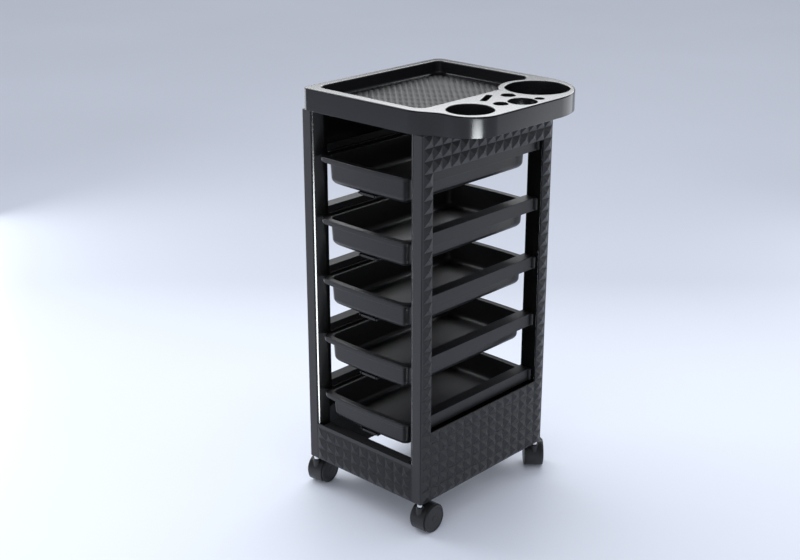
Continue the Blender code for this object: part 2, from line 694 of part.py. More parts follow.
def make_hood_mesh(shop):
    """The fork between the wheels with the hood that covers their treads and the stem boss."""
    steps = 12
    angles = [HOOD_FROM + (HOOD_TO - HOOD_FROM) * k / steps for k in range(steps + 1)]
    outer = [hood_point(HOOD_R, a) for a in angles]
    inner = [hood_point(HOOD_R - HOOD_T, a) for a in reversed(angles)]
    within = [min(max(a, HOOD_FROM + WEB_TRIM), HOOD_TO - WEB_TRIM) for a in angles]
    middle = [hood_point(HOOD_R - HOOD_T / 2, a) for a in within]
    foot = [hood_point(BOSS_R, radians(220)), hood_point(BOSS_R, radians(320))]
    web = prism(middle + foot, -WEB_T / 2, WEB_T / 2, "x")
    shell = prism(outer + inner, -HOOD_W / 2, HOOD_W / 2, "x")
    hub_half = CASTER_W / 2 - WHEEL_W - GAP
    hub = lathe([(HUB_R, -hub_half), (HUB_R, hub_half)], 14, "x", centre=(TRAIL, WHEEL_R))
    boss = lathe([(BOSS_R, WHEEL_R + BOSS_FOOT), (BOSS_R, BOSS_TOP)], 14)
    bore = lathe([(STEM_R + GAP, BOSS_TOP - STEM_BORE_DEPTH), (STEM_R + GAP, BOSS_TOP + WALL)], 12)
    axle_hole = lathe(
        [(AXLE_R + GAP, -CASTER_W), (AXLE_R + GAP, CASTER_W)], 10, "x", centre=(TRAIL, WHEEL_R))
    return smooth(shop.shared("caster_hood", web, [
        ("UNION", [shell]), ("UNION", [hub]), ("UNION", [boss]), ("DIFFERENCE", [bore, axle_hole])]))


def make_wheel_mesh(shop):
    """One wheel about its own axis, its outer face at +X and a blind axle bore in its inner face."""
    bevel = WHEEL_BEVEL
    bore = AXLE_R + GAP
    face = WHEEL_R - DISC_INSET
    profile = [
        (bore, WHEEL_W - BORE_END), (bore, 0), (WHEEL_R - bevel, 0), (WHEEL_R, bevel),
        (WHEEL_R, WHEEL_W - 2 * bevel), (WHEEL_R - 2 * bevel, WHEEL_W), (face, WHEEL_W),
        (face - bevel, WHEEL_W - bevel)]
    return smooth(shop.mesh("caster_wheel", lathe(profile, 22, "x")))


def make_casters(shop):
    """Four swivel casters: a fixed stem, and a hood with its axle and two wheels that swivels."""
    hood = make_hood_mesh(shop)
    wheel = make_wheel_mesh(shop)
    collar_low, collar_high = BOSS_TOP + GAP, CASTER_H - GAP
    stem = smooth(shop.mesh("caster_stem", lathe([
        (STEM_R, BOSS_TOP - STEM_BORE_DEPTH + STEM_END_GAP), (STEM_R, collar_low), (COLLAR_R, collar_low),
        (COLLAR_R, collar_high), (STEM_R, collar_high),
        (STEM_R, CASTER_H + SOCKET_DEPTH - STEM_TOP_GAP)], 12)))
    axle_half = CASTER_W / 2 - AXLE_INSET
    axle = smooth(shop.mesh("caster_axle", lathe([(AXLE_R, -axle_half), (AXLE_R, axle_half)], 10, "x")))
    for corner, turn in CASTER_TURN.items():
        end, side = corner.split("_")
        x = SIDES[side] * (HALF_W - STEM_INSET)
        y = STEM_INSET if end == "front" else CABINET_D - STEM_INSET
        shop.place(f"caster_{corner}_stem", stem, "chrome", location=(x, y, 0))
        swivel = shop.empty(f"swivel_{corner}", (x, y, 0), turn=radians(turn))
        shop.place(f"caster_{corner}_hood", hood, "caster", parent=swivel)
        hub = (0, TRAIL, WHEEL_R)
        shop.place(f"caster_{corner}_axle", axle, "chrome", location=hub, parent=swivel)
        inner_face = CASTER_W / 2 - WHEEL_W
        for label, sign in (("a", 1), ("b", -1)):
            location = (sign * inner_face, TRAIL, WHEEL_R)
            turned = 0 if sign > 0 else pi
            shop.place(f"caster_{corner}_wheel_{label}", wheel, "caster", location, swivel, turned)


# ---------------------------------------------------------------- the trolley
def centre_on_floor(root):
    """Shifts the root so that the box round all the pieces is centred over the origin."""
    bpy.context.view_layer.update()
    graph = bpy.context.evaluated_depsgraph_get()
    low, high = Vector((1e9, 1e9)), Vector((-1e9, -1e9))
    for piece in bpy.context.scene.objects:
        if piece.type != "MESH" or piece.hide_render:
            continue
        shown = piece.evaluated_get(graph)
        for vertex in shown.data.vertices:
            point = shown.matrix_world @ vertex.co
            low = Vector(map(min, low, point.xy))
            high = Vector(map(max, high, point.xy))
    root.location.xy = -(low + high) / 2


def main():
    """Builds the trolley in an emptied scene."""
    for old in list(bpy.data.objects):
        bpy.data.objects.remove(old)
    root = bpy.data.objects.new("trolley", None)
    bpy.context.scene.collection.objects.link(root)
    shop = Workshop(root, make_materials())
    for side in SIDES:
        make_side_cover(shop, side)
        make_inner_frame(shop, side)
        make_runner_rails(shop, side)
    for end in ("front", "rear"):
        make_base_panel(shop, end)
    make_drawers(shop)
    make_top_tray(shop)
    make_casters(shop)
    centre_on_floor(root)


main()
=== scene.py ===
"""Looks of a rolling salon trolley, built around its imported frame.

Units are metres. Every piece is drawn in the cabinet's own layout, which is measured from the
middle of its front plane at floor level, and is then shifted to where the frame's nodes stand.
"""

import logging
from collections.abc import Sequence
from dataclasses import dataclass, field
from enum import Enum
from math import asin, atan2, cos, pi, radians, sin, tan

import bmesh
import bpy
from mathutils import Matrix, Vector

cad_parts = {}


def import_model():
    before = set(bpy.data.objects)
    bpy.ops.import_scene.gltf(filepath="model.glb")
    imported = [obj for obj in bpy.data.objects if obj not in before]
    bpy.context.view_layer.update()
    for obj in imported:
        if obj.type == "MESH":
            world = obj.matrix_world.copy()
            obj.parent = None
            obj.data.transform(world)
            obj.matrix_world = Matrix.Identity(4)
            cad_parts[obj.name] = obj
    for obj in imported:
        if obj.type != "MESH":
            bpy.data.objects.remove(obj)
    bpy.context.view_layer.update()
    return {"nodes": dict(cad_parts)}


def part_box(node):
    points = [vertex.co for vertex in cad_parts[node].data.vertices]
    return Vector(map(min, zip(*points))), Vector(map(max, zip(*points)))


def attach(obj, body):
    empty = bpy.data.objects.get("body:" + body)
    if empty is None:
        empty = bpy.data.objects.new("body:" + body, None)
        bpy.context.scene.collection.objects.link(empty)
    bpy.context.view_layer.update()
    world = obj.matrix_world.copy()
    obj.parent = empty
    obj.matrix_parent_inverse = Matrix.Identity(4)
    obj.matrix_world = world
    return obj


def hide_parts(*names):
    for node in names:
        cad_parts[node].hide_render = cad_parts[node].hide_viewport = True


CABINET_BODY = "cabinet"
LOG = logging.getLogger("trolley")
DIAGONAL = 0.5 ** 0.5

Outline = list[Vector]
Point = tuple[float, float, float]


class Side(Enum):
    """The two sides of the cabinet, with the sign of their x."""

    LEFT = -1
    RIGHT = 1


class End(Enum):
    """The two ends of the cabinet, with the sign of the way they face along y."""

    FRONT = -1
    REAR = 1


class Axis(Enum):
    """The axis that an outline is drawn out along, or a profile is turned about."""

    X = "x"
    Y = "y"
    Z = "z"


# ---------------------------------------------------------------- node trees
class Graph:
    """Adds nodes to a tree and joins them up."""

    def __init__(self, tree: bpy.types.NodeTree) -> None:
        """Works on one tree.

        Args:
            tree: The shader or geometry tree to build.
        """
        self.tree = tree

    def add(self, kind: str, wires: dict | None = None, **settings: object) -> bpy.types.Node:
        """Adds a node.

        Args:
            kind: The node's type name.
            wires: Input name or number to a value, or to the socket that feeds it.
            settings: The node's own properties.

        Returns:
            The new node.
        """
        node = self.tree.nodes.new(kind)
        for name, value in settings.items():
            setattr(node, name, value)
        for key, value in (wires or {}).items():
            if isinstance(value, bpy.types.NodeSocket):
                self.tree.links.new(value, node.inputs[key])
            else:
                node.inputs[key].default_value = value
        return node

    def math(self, operation: str, *values: object) -> bpy.types.NodeSocket:
        """The result of a Math node on up to three values or sockets."""
        kind = "ShaderNodeMath"
        return self.add(kind, dict(enumerate(values)), operation=operation).outputs[0]

    def mix(self, share: object, first: object, second: object) -> bpy.types.NodeSocket:
        """The colour between two colours, by a share from 0 to 1."""
        node = self.add("ShaderNodeMix", {0: share, 6: first, 7: second}, data_type="RGBA")
        return node.outputs[2]

    def noise(self, place: object, scale: object, detail: float) -> bpy.types.NodeSocket:
        """The value of a three-dimensional noise at a place."""
        wires = {"Vector": place, "Scale": scale, "Detail": detail}
        return self.add("ShaderNodeTexNoise", wires).outputs["Fac"]

    def cell(self, columns: object) -> tuple[bpy.types.NodeSocket, bpy.types.NodeSocket]:
        """The (row, column) that each point stands in.

        Args:
            columns: How many columns there are, as a number or a socket.

        Returns:
            The row's and the column's sockets, counted from 0.
        """
        index = self.add("GeometryNodeInputIndex").outputs[0]
        row = self.math("FLOOR", self.math("DIVIDE", self.math("ADD", index, 0.5), columns))
        return row, self.math("SUBTRACT", index, self.math("MULTIPLY", row, columns))

    def scatter(self, given: bpy.types.bpy_prop_collection, points: bpy.types.NodeSocket,
                sides: tuple, more: dict | None = None) -> None:
        """Ends a geometry group with its tile set on points, made real and given its finish.

        Args:
            given: The group's inputs, with Tile, Height and Finish among them.
            points: The points to stand tiles on.
            sides: Each tile's length and width.
            more: Further inputs for the tiles, such as their turn.
        """
        tile = self.add("GeometryNodeObjectInfo", {"Object": given["Tile"]}).outputs["Geometry"]
        wires = {0: sides[0], 1: sides[1], 2: given["Height"]}
        size = self.add("ShaderNodeCombineXYZ", wires).outputs[0]
        wires = {"Points": points, "Instance": tile, "Scale": size, **(more or {})}
        rows = self.add("GeometryNodeInstanceOnPoints", wires).outputs[0]
        real = self.add("GeometryNodeRealizeInstances", {"Geometry": rows}).outputs[0]
        wires = {"Geometry": real, "Material": given["Finish"]}
        dressed = self.add("GeometryNodeSetMaterial", wires).outputs[0]
        self.add("NodeGroupOutput", {"Geometry": dressed})


def group_tree(name: str, kind: str, inputs: Sequence[tuple], outputs: Sequence[tuple]) -> Graph:
    """Makes a node group with named sockets.

    Args:
        name: The group's name.
        kind: Type of tree, for shaders or for geometry.
        inputs: (name, socket type, default or None) of each input.
        outputs: (name, socket type) of each output.

    Returns:
        The graph of the new group.
    """
    tree = bpy.data.node_groups.new(name, kind)
    for label, socket, value in inputs:
        made = tree.interface.new_socket(label, in_out="INPUT", socket_type=socket)
        if value is not None:
            made.default_value = value
    for label, socket in outputs:
        tree.interface.new_socket(label, in_out="OUTPUT", socket_type=socket)
    return Graph(tree)


def skin_group() -> bpy.types.NodeTree:
    """Moulded plastic's skin: cloudy shade, uneven gloss, and a fine grain's height."""
    number, colour = "NodeSocketFloat", "NodeSocketColor"
    graph = group_tree(
        "moulded_skin", "ShaderNodeTree",
        [("Shade", colour, (0.02, 0.02, 0.02, 1.0)), ("Gloss", number, 0.4),
         ("Spread", number, 0.1), ("Grain scale", number, 900.0), ("Cloud scale", number, 14.0)],
        [("Colour", colour), ("Roughness", number), ("Height", number)])
    given = graph.add("NodeGroupInput").outputs
    place = graph.add("ShaderNodeTexCoord").outputs["Object"]
    cloud = graph.noise(place, given["Cloud scale"], 3.0)
    grain = graph.noise(place, given["Grain scale"], 2.0)
    swing = graph.math("SUBTRACT", cloud, 0.5)
    lift = graph.math("MULTIPLY_ADD", swing, given["Spread"], 1.0)
    shade = graph.add(
        "ShaderNodeVectorMath", {0: given["Shade"], "Scale": lift}, operation="SCALE").outputs[0]
    fine = graph.math("MULTIPLY", graph.math("SUBTRACT", grain, 0.5), 0.12)
    uneven = graph.math("MULTIPLY_ADD", swing, given["Spread"], fine)
    rough = graph.math("MULTIPLY_ADD", uneven, given["Gloss"], given["Gloss"])
    graph.add("NodeGroupOutput", {"Colour": shade, "Roughness": rough, "Height": grain})
    return graph.tree


def lattice_group() -> bpy.types.NodeTree:
    """Fine crossed ribs on the diagonal, as the height of a moulded pattern."""
    number = "NodeSocketFloat"
    graph = group_tree(
        "crossed_ribs", "ShaderNodeTree", [("Pitch", number, 0.004), ("Sharpness", number, 3.0)],
        [("Height", number)])
    given = graph.add("NodeGroupInput").outputs
    place = graph.add("ShaderNodeTexCoord").outputs["Object"]
    split = graph.add("ShaderNodeSeparateXYZ", {0: place}).outputs
    sum_way = graph.math("ADD", split[0], split[1])
    other_way = graph.math("SUBTRACT", split[0], split[1])
    ribs = []
    for way in (graph.math("ADD", sum_way, split[2]), graph.math("ADD", other_way, split[2])):
        wave = graph.math("PINGPONG", graph.math("DIVIDE", way, given["Pitch"]), 0.5)
        ribs.append(graph.math("POWER", graph.math("MULTIPLY", wave, 2.0), given["Sharpness"]))
    graph.add("NodeGroupOutput", {"Height": graph.math("MAXIMUM", ribs[0], ribs[1])})
    return graph.tree


# ---------------------------------------------------------------- finishes
@dataclass(frozen=True)
class MouldedPlastic:
    """A black moulded plastic, and how its surface was finished in the mould."""

    name: str
    slot: str
    shade: tuple[float, float, float]
    roughness: float
    grain_scale: float = 900.0
    grain_depth: float = 0.00004
    spread: float = 0.12
    specular: float = 0.5
    rib_pitch: float = 0.0
    rib_depth: float = 0.0

    def material(self) -> bpy.types.Material:
        """Builds the finish.

        Returns:
            The material, whose grain and ribs come from the shared groups.
        """
        material = bpy.data.materials.new(self.name)
        material.use_nodes = True
        graph = Graph(material.node_tree)
        shader = material.node_tree.nodes["Principled BSDF"]
        shader.inputs["Specular IOR Level"].default_value = self.specular
        skin = graph.add("ShaderNodeGroup", node_tree=bpy.data.node_groups["moulded_skin"])
        for key, value in (("Shade", (*self.shade, 1.0)), ("Gloss", self.roughness),
                           ("Spread", self.spread), ("Grain scale", self.grain_scale)):
            skin.inputs[key].default_value = value
        links = material.node_tree.links
        links.new(skin.outputs["Colour"], shader.inputs["Base Color"])
        links.new(skin.outputs["Roughness"], shader.inputs["Roughness"])
        bump = graph.add(
            "ShaderNodeBump", {"Distance": self.grain_depth, "Strength": 1.0,
                               "Height": skin.outputs["Height"]})
        if self.rib_pitch:
            ribs = graph.add("ShaderNodeGroup", node_tree=bpy.data.node_groups["crossed_ribs"])
            ribs.inputs["Pitch"].default_value = self.rib_pitch
            bump = graph.add(
                "ShaderNodeBump", {"Distance": self.rib_depth, "Strength": 1.0,
                                   "Height": ribs.outputs[0], "Normal": bump.outputs[0]})
        links.new(bump.outputs[0], shader.inputs["Normal"])
        return material


@dataclass(frozen=True)
class PlatedSteel:
    """Bright plated steel with faint polishing marks."""

    name: str
    slot: str
    shade: tuple[float, float, float]
    roughness: float
    grain_scale: float = 400.0

    def material(self) -> bpy.types.Material:
        """Builds the finish.

        Returns:
            The material, metallic, with uneven polish.
        """
        material = bpy.data.materials.new(self.name)
        material.use_nodes = True
        graph = Graph(material.node_tree)
        shader = material.node_tree.nodes["Principled BSDF"]
        shader.inputs["Metallic"].default_value = 1.0
        skin = graph.add("ShaderNodeGroup", node_tree=bpy.data.node_groups["moulded_skin"])
        for key, value in (("Shade", (*self.shade, 1.0)), ("Gloss", self.roughness),
                           ("Spread", 0.3), ("Grain scale", self.grain_scale)):
            skin.inputs[key].default_value = value
        links = material.node_tree.links
        links.new(skin.outputs["Colour"], shader.inputs["Base Color"])
        links.new(skin.outputs["Roughness"], shader.inputs["Roughness"])
        return material


SATIN = MouldedPlastic("satin_black", "satin_black", (0.0205, 0.0202, 0.0222), 0.44)
POST_GLOSS = MouldedPlastic(
    "post_gloss", "gloss_black", (0.0035, 0.0035, 0.0037), 0.15, grain_depth=0.000008,
    specular=0.3)
# Partly the rails' own satin black, partly painted shade: the rails are drawn darker than the covers so
# that their inner faces read as the shade inside the cabinet.
RAIL_SATIN_PAINTED_SHADE = MouldedPlastic("rail_satin", "gloss_black", (0.009, 0.0089, 0.0098), 0.40, specular=0.4)
TRAY_GLOSS = MouldedPlastic(
    "tray_gloss", "gloss_black", (0.009, 0.009, 0.0098), 0.20, grain_scale=500.0,
    grain_depth=0.000003)
# Partly the floor's own matte texture, partly painted shade: the recess floor is the tray's own plastic,
# drawn darker and with weaker reflections than the rim so that it reads as the shade in the recess.
RECESS_FLOOR_PAINTED_SHADE = MouldedPlastic(
    "recess_floor", "gloss_black", (0.006, 0.006, 0.0065), 0.42, grain_depth=0.00002,
    specular=0.2)
DRAWER_OUTSIDE = MouldedPlastic(
    "drawer_outside", "drawer_black", (0.011, 0.0109, 0.012), 0.36, specular=0.42)
DRAWER_RIM = MouldedPlastic(
    "drawer_rim", "drawer_black", (0.008, 0.008, 0.0087), 0.26, grain_depth=0.00001)
# Painted shade: the tubs' inside is the drawers' own plastic, drawn far darker and with weaker reflections
# than the outside so that it reads as the shade inside them. The crossed ribs are real.
DRAWER_INSIDE_PAINTED_SHADE = MouldedPlastic(
    "drawer_inside", "drawer_black", (0.0018, 0.0018, 0.002), 0.34, specular=0.13,
    rib_pitch=0.0085, rib_depth=0.0004)
CASTER_HOOD = MouldedPlastic("caster_hood", "caster_black", (0.014, 0.014, 0.015), 0.34)
CASTER_TYRE = MouldedPlastic(
    "caster_tyre", "caster_black", (0.020, 0.020, 0.021), 0.46, grain_depth=0.00006)
CHROME = PlatedSteel("chrome", "chrome", (0.78, 0.79, 0.80), 0.14)
FINISHES = (
    SATIN, POST_GLOSS, RAIL_SATIN_PAINTED_SHADE, TRAY_GLOSS, RECESS_FLOOR_PAINTED_SHADE, DRAWER_OUTSIDE, DRAWER_RIM,
    DRAWER_INSIDE_PAINTED_SHADE, CASTER_HOOD, CASTER_TYRE, CHROME)
Finish = MouldedPlastic | PlatedSteel


# ---------------------------------------------------------------- outlines
def rounded(corners: Sequence[Point], steps: int) -> Outline:
    """Rounds a plane outline.

    Args:
        corners: Counter-clockwise corners (x, y, radius); a radius of 0 leaves the corner sharp.
        steps: Segments in each rounding.

    Returns:
        The outline's points, counter-clockwise.
    """
    points = []
    for i, (x, y, radius) in enumerate(corners):
        here = Vector((x, y))
        before = (Vector(corners[i - 1][:2]) - here).normalized()
        after = (Vector(corners[(i + 1) % len(corners)][:2]) - here).normalized()
        if radius == 0:
            points.append(here)
            continue
        half = before.angle(after) / 2
        centre = here + (before + after).normalized() * radius / sin(half)
        start = here + before * radius / tan(half) - centre
        end = here + after * radius / tan(half) - centre
        turn = atan2(start.cross(end), start.dot(end))
        points += [
            centre + Matrix.Rotation(turn * k / steps, 2) @ start for k in range(steps + 1)]
    return points


def offset(outline: Outline, distance: float) -> Outline:
    """The outline moved inwards by a distance, or outwards where it is negative.

    Args:
        outline: Counter-clockwise points.
        distance: How far each edge moves inwards.

    Returns:
        The moved points.
    """
    moved = []
    for i, point in enumerate(outline):
        before = (point - outline[i - 1]).normalized()
        after = (outline[(i + 1) % len(outline)] - point).normalized()
        inward = (before.orthogonal() + after.orthogonal()).normalized()
        moved.append(point + inward * distance / max(inward.dot(after.orthogonal()), 0.2))
    return moved


def circle(x: float, y: float, radius: float, steps: int) -> Outline:
    """Counter-clockwise outline of a circle about (x, y)."""
    turns = [2 * pi * k / steps for k in range(steps)]
    return [Vector((x + radius * cos(a), y + radius * sin(a))) for a in turns]


def quarter(start: tuple[float, float], end: tuple[float, float], steps: int,
            first_along: bool) -> list[tuple[float, float]]:
    """A quarter of an ellipse between two profile points.

    Args:
        start: First (inset, height).
        end: Last (inset, height).
        steps: Segments in the curve.
        first_along: True if the curve leaves its start along the inset, not along the height.

    Returns:
        The curve's points, both ends included.
    """
    points = []
    for k in range(steps + 1):
        turn = pi / 2 * k / steps
        early, late = sin(turn), 1 - cos(turn)
        share_in, share_up = (early, late) if first_along else (late, early)
        points.append((
            start[0] + (end[0] - start[0]) * share_in, start[1] + (end[1] - start[1]) * share_up))
    return points


# ---------------------------------------------------------------- meshes
class Form:
    """A mesh in the making, in the cabinet's layout."""

    def __init__(self) -> None:
        """Starts empty."""
        self.build = bmesh.new()

    def ring(self, points: Sequence[Sequence[float]]) -> list[bmesh.types.BMVert]:
        """Adds the points of one ring."""
        return [self.build.verts.new(p) for p in points]

    def skin(self, rings: Sequence[list[bmesh.types.BMVert]], finish: int = 0) -> None:
        """Joins each ring to the next with faces.

        Args:
            rings: Rings of equally many points.
            finish: Material number of the faces.
        """
        for low, high in zip(rings, rings[1:]):
            for k in range(len(low)):
                after = (k + 1) % len(low)
                face = self.build.faces.new([low[k], low[after], high[after], high[k]])
                face.material_index = finish

    def cap(self, ring: list[bmesh.types.BMVert], finish: int = 0) -> None:
        """Closes a ring with one flat face."""
        self.build.faces.new(ring).material_index = finish

    def fill(self, rings: Sequence[list[bmesh.types.BMVert]], finish: int = 0) -> None:
        """Fills the flat area between an outer ring and the rings of its holes.

        Args:
            rings: The outer ring, then one for each hole.
            finish: Material number of the faces.
        """
        edges = []
        for ring in rings:
            for k, vertex in enumerate(ring):
                pair = (vertex, ring[(k + 1) % len(ring)])
                edges.append(self.build.edges.get(pair) or self.build.edges.new(pair))
        made = bmesh.ops.triangle_fill(self.build, use_beauty=True, edges=edges)
        for face in made["geom"]:
            if isinstance(face, bmesh.types.BMFace):
                face.material_index = finish

    def loft(self, levels: Sequence[Sequence[Sequence[float]]], finish: int = 0) -> None:
        """Adds the closed solid through rings of equally many points.

        Args:
            levels: The points of each ring.
            finish: Material number of the faces.
        """
        rings = [self.ring(level) for level in levels]
        self.skin(rings, finish)
        self.cap(rings[0], finish)
        self.cap(rings[-1], finish)

    def prism(self, outline: Outline, low: float, high: float, axis: Axis = Axis.Z,
              finish: int = 0) -> None:
        """Adds a plane outline drawn out from low to high along an axis.

        Args:
            outline: The outline's points.
            low: Where the solid starts.
            high: Where it ends.
            axis: The axis it is drawn out along.
            finish: Material number of the faces.
        """
        place = {
            Axis.Z: lambda p, h: (p.x, p.y, h),
            Axis.X: lambda p, h: (h, p.x, p.y),
            Axis.Y: lambda p, h: (p.x, h, p.y),
        }[axis]
        self.loft([[place(p, h) for p in outline] for h in (low, high)], finish)

    def box(self, low: Point, high: Point, finish: int = 0) -> None:
        """Adds a block between two corners.

        Args:
            low: The lowest corner.
            high: The highest corner.
            finish: Material number of the faces.
        """
        (x0, y0, z0), (x1, y1, z1) = low, high
        outline = [Vector(p) for p in ((x0, y0), (x1, y0), (x1, y1), (x0, y1))]
        self.prism(outline, z0, z1, finish=finish)

    def lathe(self, profile: Sequence[tuple[float, float]], steps: int, axis: Axis = Axis.Z,
              centre: tuple[float, float] = (0.0, 0.0), finish: int = 0) -> None:
        """Adds a profile of (radius, height) turned about an axis, with both ends closed.

        Args:
            profile: The (radius, height) points.
            steps: Segments round the axis.
            axis: Z, or X for a piece that lies on its side.
            centre: Where the axis stands in the plane across it.
            finish: Material number of the faces.
        """
        levels = []
        for radius, height in profile:
            flat = circle(*centre, radius, steps)
            levels.append([
                (p.x, p.y, height) if axis is Axis.Z else (height, p.x, p.y) for p in flat])
        self.loft(levels, finish)

    def mesh(self, name: str) -> bpy.types.Mesh:
        """The finished mesh, with its faces pointing outwards.

        Args:
            name: The mesh's name.

        Returns:
            The mesh. The form is used up.
        """
        bmesh.ops.recalc_face_normals(self.build, faces=self.build.faces)
        mesh = bpy.data.meshes.new(name)
        self.build.to_mesh(mesh)
        self.build.free()
        mesh.shade_smooth()
        return mesh


def baked(piece: bpy.types.Object) -> bpy.types.Mesh:
    """The mesh that a piece's modifiers leave, as a plain mesh of its own.

    Args:
        piece: An object with modifiers.

    Returns:
        The new mesh.
    """
    bpy.context.view_layer.update()
    graph = bpy.context.evaluated_depsgraph_get()
    return bpy.data.meshes.new_from_object(piece.evaluated_get(graph))


def placed(name: str, mesh: bpy.types.Mesh) -> bpy.types.Object:
    """Puts a mesh into the scene as an object at the origin.

    Args:
        name: The object's name.
        mesh: Its mesh.

    Returns:
        The object.
    """
    piece = bpy.data.objects.new(name, mesh)
    bpy.context.scene.collection.objects.link(piece)
    return piece


def eased(mesh: bpy.types.Mesh, width: float, steps: int = 3, limit: float = 32.0,
          cut: bpy.types.Mesh | None = None) -> bpy.types.Mesh:
    """Breaks a mesh's sharp edges, and lets its flat faces keep a flat shade.

    Args:
        mesh: The mesh to ease.
        width: Width of the broken edges; 0 leaves them sharp.
        steps: Segments across an edge.
        limit: Angle in degrees above which an edge is broken.
        cut: A solid to take out first.

    Returns:
        The eased mesh, which takes the place of the one given.
    """
    piece = placed("easing", mesh)
    helper = None
    if cut is not None:
        helper = placed("cutting", cut)
        opening = piece.modifiers.new("opening", "BOOLEAN")
        opening.object, opening.operation, opening.solver = helper, "DIFFERENCE", "EXACT"
    if width > 0:
        edge = piece.modifiers.new("edge", "BEVEL")
        edge.width, edge.segments, edge.angle_limit = width, steps, radians(limit)
        edge.limit_method = "ANGLE"
        edge.miter_outer = "MITER_ARC"
    shade = piece.modifiers.new("shade", "WEIGHTED_NORMAL")
    shade.mode, shade.weight, shade.keep_sharp = "FACE_AREA_WITH_ANGLE", 50, True
    result = baked(piece)
    result.name = mesh.name
    bpy.data.objects.remove(piece)
    if helper is not None:
        bpy.data.objects.remove(helper)
    return result


def merged(name: str, meshes: Sequence[bpy.types.Mesh]) -> bpy.types.Mesh:
    """One mesh of several that wear the same finishes; their broken edges keep their shade.

    Args:
        name: The new mesh's name.
        meshes: The meshes to join.

    Returns:
        The joined mesh.
    """
    pieces = [placed(f"{name}_{k}", mesh) for k, mesh in enumerate(meshes)]
    with bpy.context.temp_override(
            active_object=pieces[0], selected_editable_objects=pieces, object=pieces[0]):
        bpy.ops.object.join()
    mesh = pieces[0].data
    mesh.name = name
    bpy.data.objects.remove(pieces[0])
    return mesh


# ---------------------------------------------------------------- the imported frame
@dataclass(frozen=True)
class Layout:
    """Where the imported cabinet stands, read from its nodes."""

    middle_x: float
    front_y: float
    depth: float
    base_z: float
    top_z: float

    @classmethod
    def measured(cls) -> "Layout":
        """Reads the cabinet's place from the boxes of its side covers and inner frame.

        Returns:
            The layout.
        """
        left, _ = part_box("side_cover_left")
        _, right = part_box("side_cover_right")
        low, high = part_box("inner_frame_left")
        return cls((left.x + right.x) / 2, low.y, high.y - low.y, low.z, high.z)

    @property
    def shift(self) -> Matrix:
        """Moves the cabinet's layout to the frame."""
        return Matrix.Translation((self.middle_x, self.front_y, 0))


class Builder:
    """Turns meshes into pieces that ride on the frame and wear their finishes."""

    def __init__(self, layout: Layout, nodes: dict[str, bpy.types.Object]) -> None:
        """Makes the shared groups and every finish.

        Args:
            layout: Where the cabinet stands.
            nodes: The frame's own objects by name.
        """
        self.layout = layout
        self.nodes = nodes
        skin_group()
        lattice_group()
        self.materials = {finish.name: finish.material() for finish in FINISHES}
        self.pieces: dict[str, bpy.types.Object] = {}

    def piece(self, name: str, mesh: bpy.types.Mesh, body: str, finishes: Sequence[Finish],
              replaces: Sequence[str] = (), place: Matrix | None = None) -> bpy.types.Object:
        """Places a finished mesh.

        Args:
            name: The piece's name.
            mesh: Its mesh, in the cabinet's layout or, with a place, in its own.
            body: The frame's body that it moves with.
            finishes: Its finishes, in the order of the mesh's material numbers.
            replaces: The frame's nodes that it stands for.
            place: Where its own layout stands in the cabinet's.

        Returns:
            The piece.
        """
        mesh.transform(self.layout.shift @ (place or Matrix.Identity(4)))
        mesh.materials.clear()
        for finish in finishes:
            mesh.materials.append(self.materials[finish.name])
        piece = self.pieces[name] = placed(name, mesh)
        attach(piece, body)
        if replaces:
            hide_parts(*replaces)
        LOG.info("%s: %d faces on %s", name, len(mesh.polygons), body)
        return piece

    def dress(self, node: str, finish: Finish) -> None:
        """Gives one of the frame's own nodes a finish.

        Args:
            node: The node's name.
            finish: What it wears.
        """
        mesh = self.nodes[node].data
        mesh.materials.clear()
        mesh.materials.append(self.materials[finish.name])
        LOG.info("%s: the frame's own, in %s", node, finish.name)


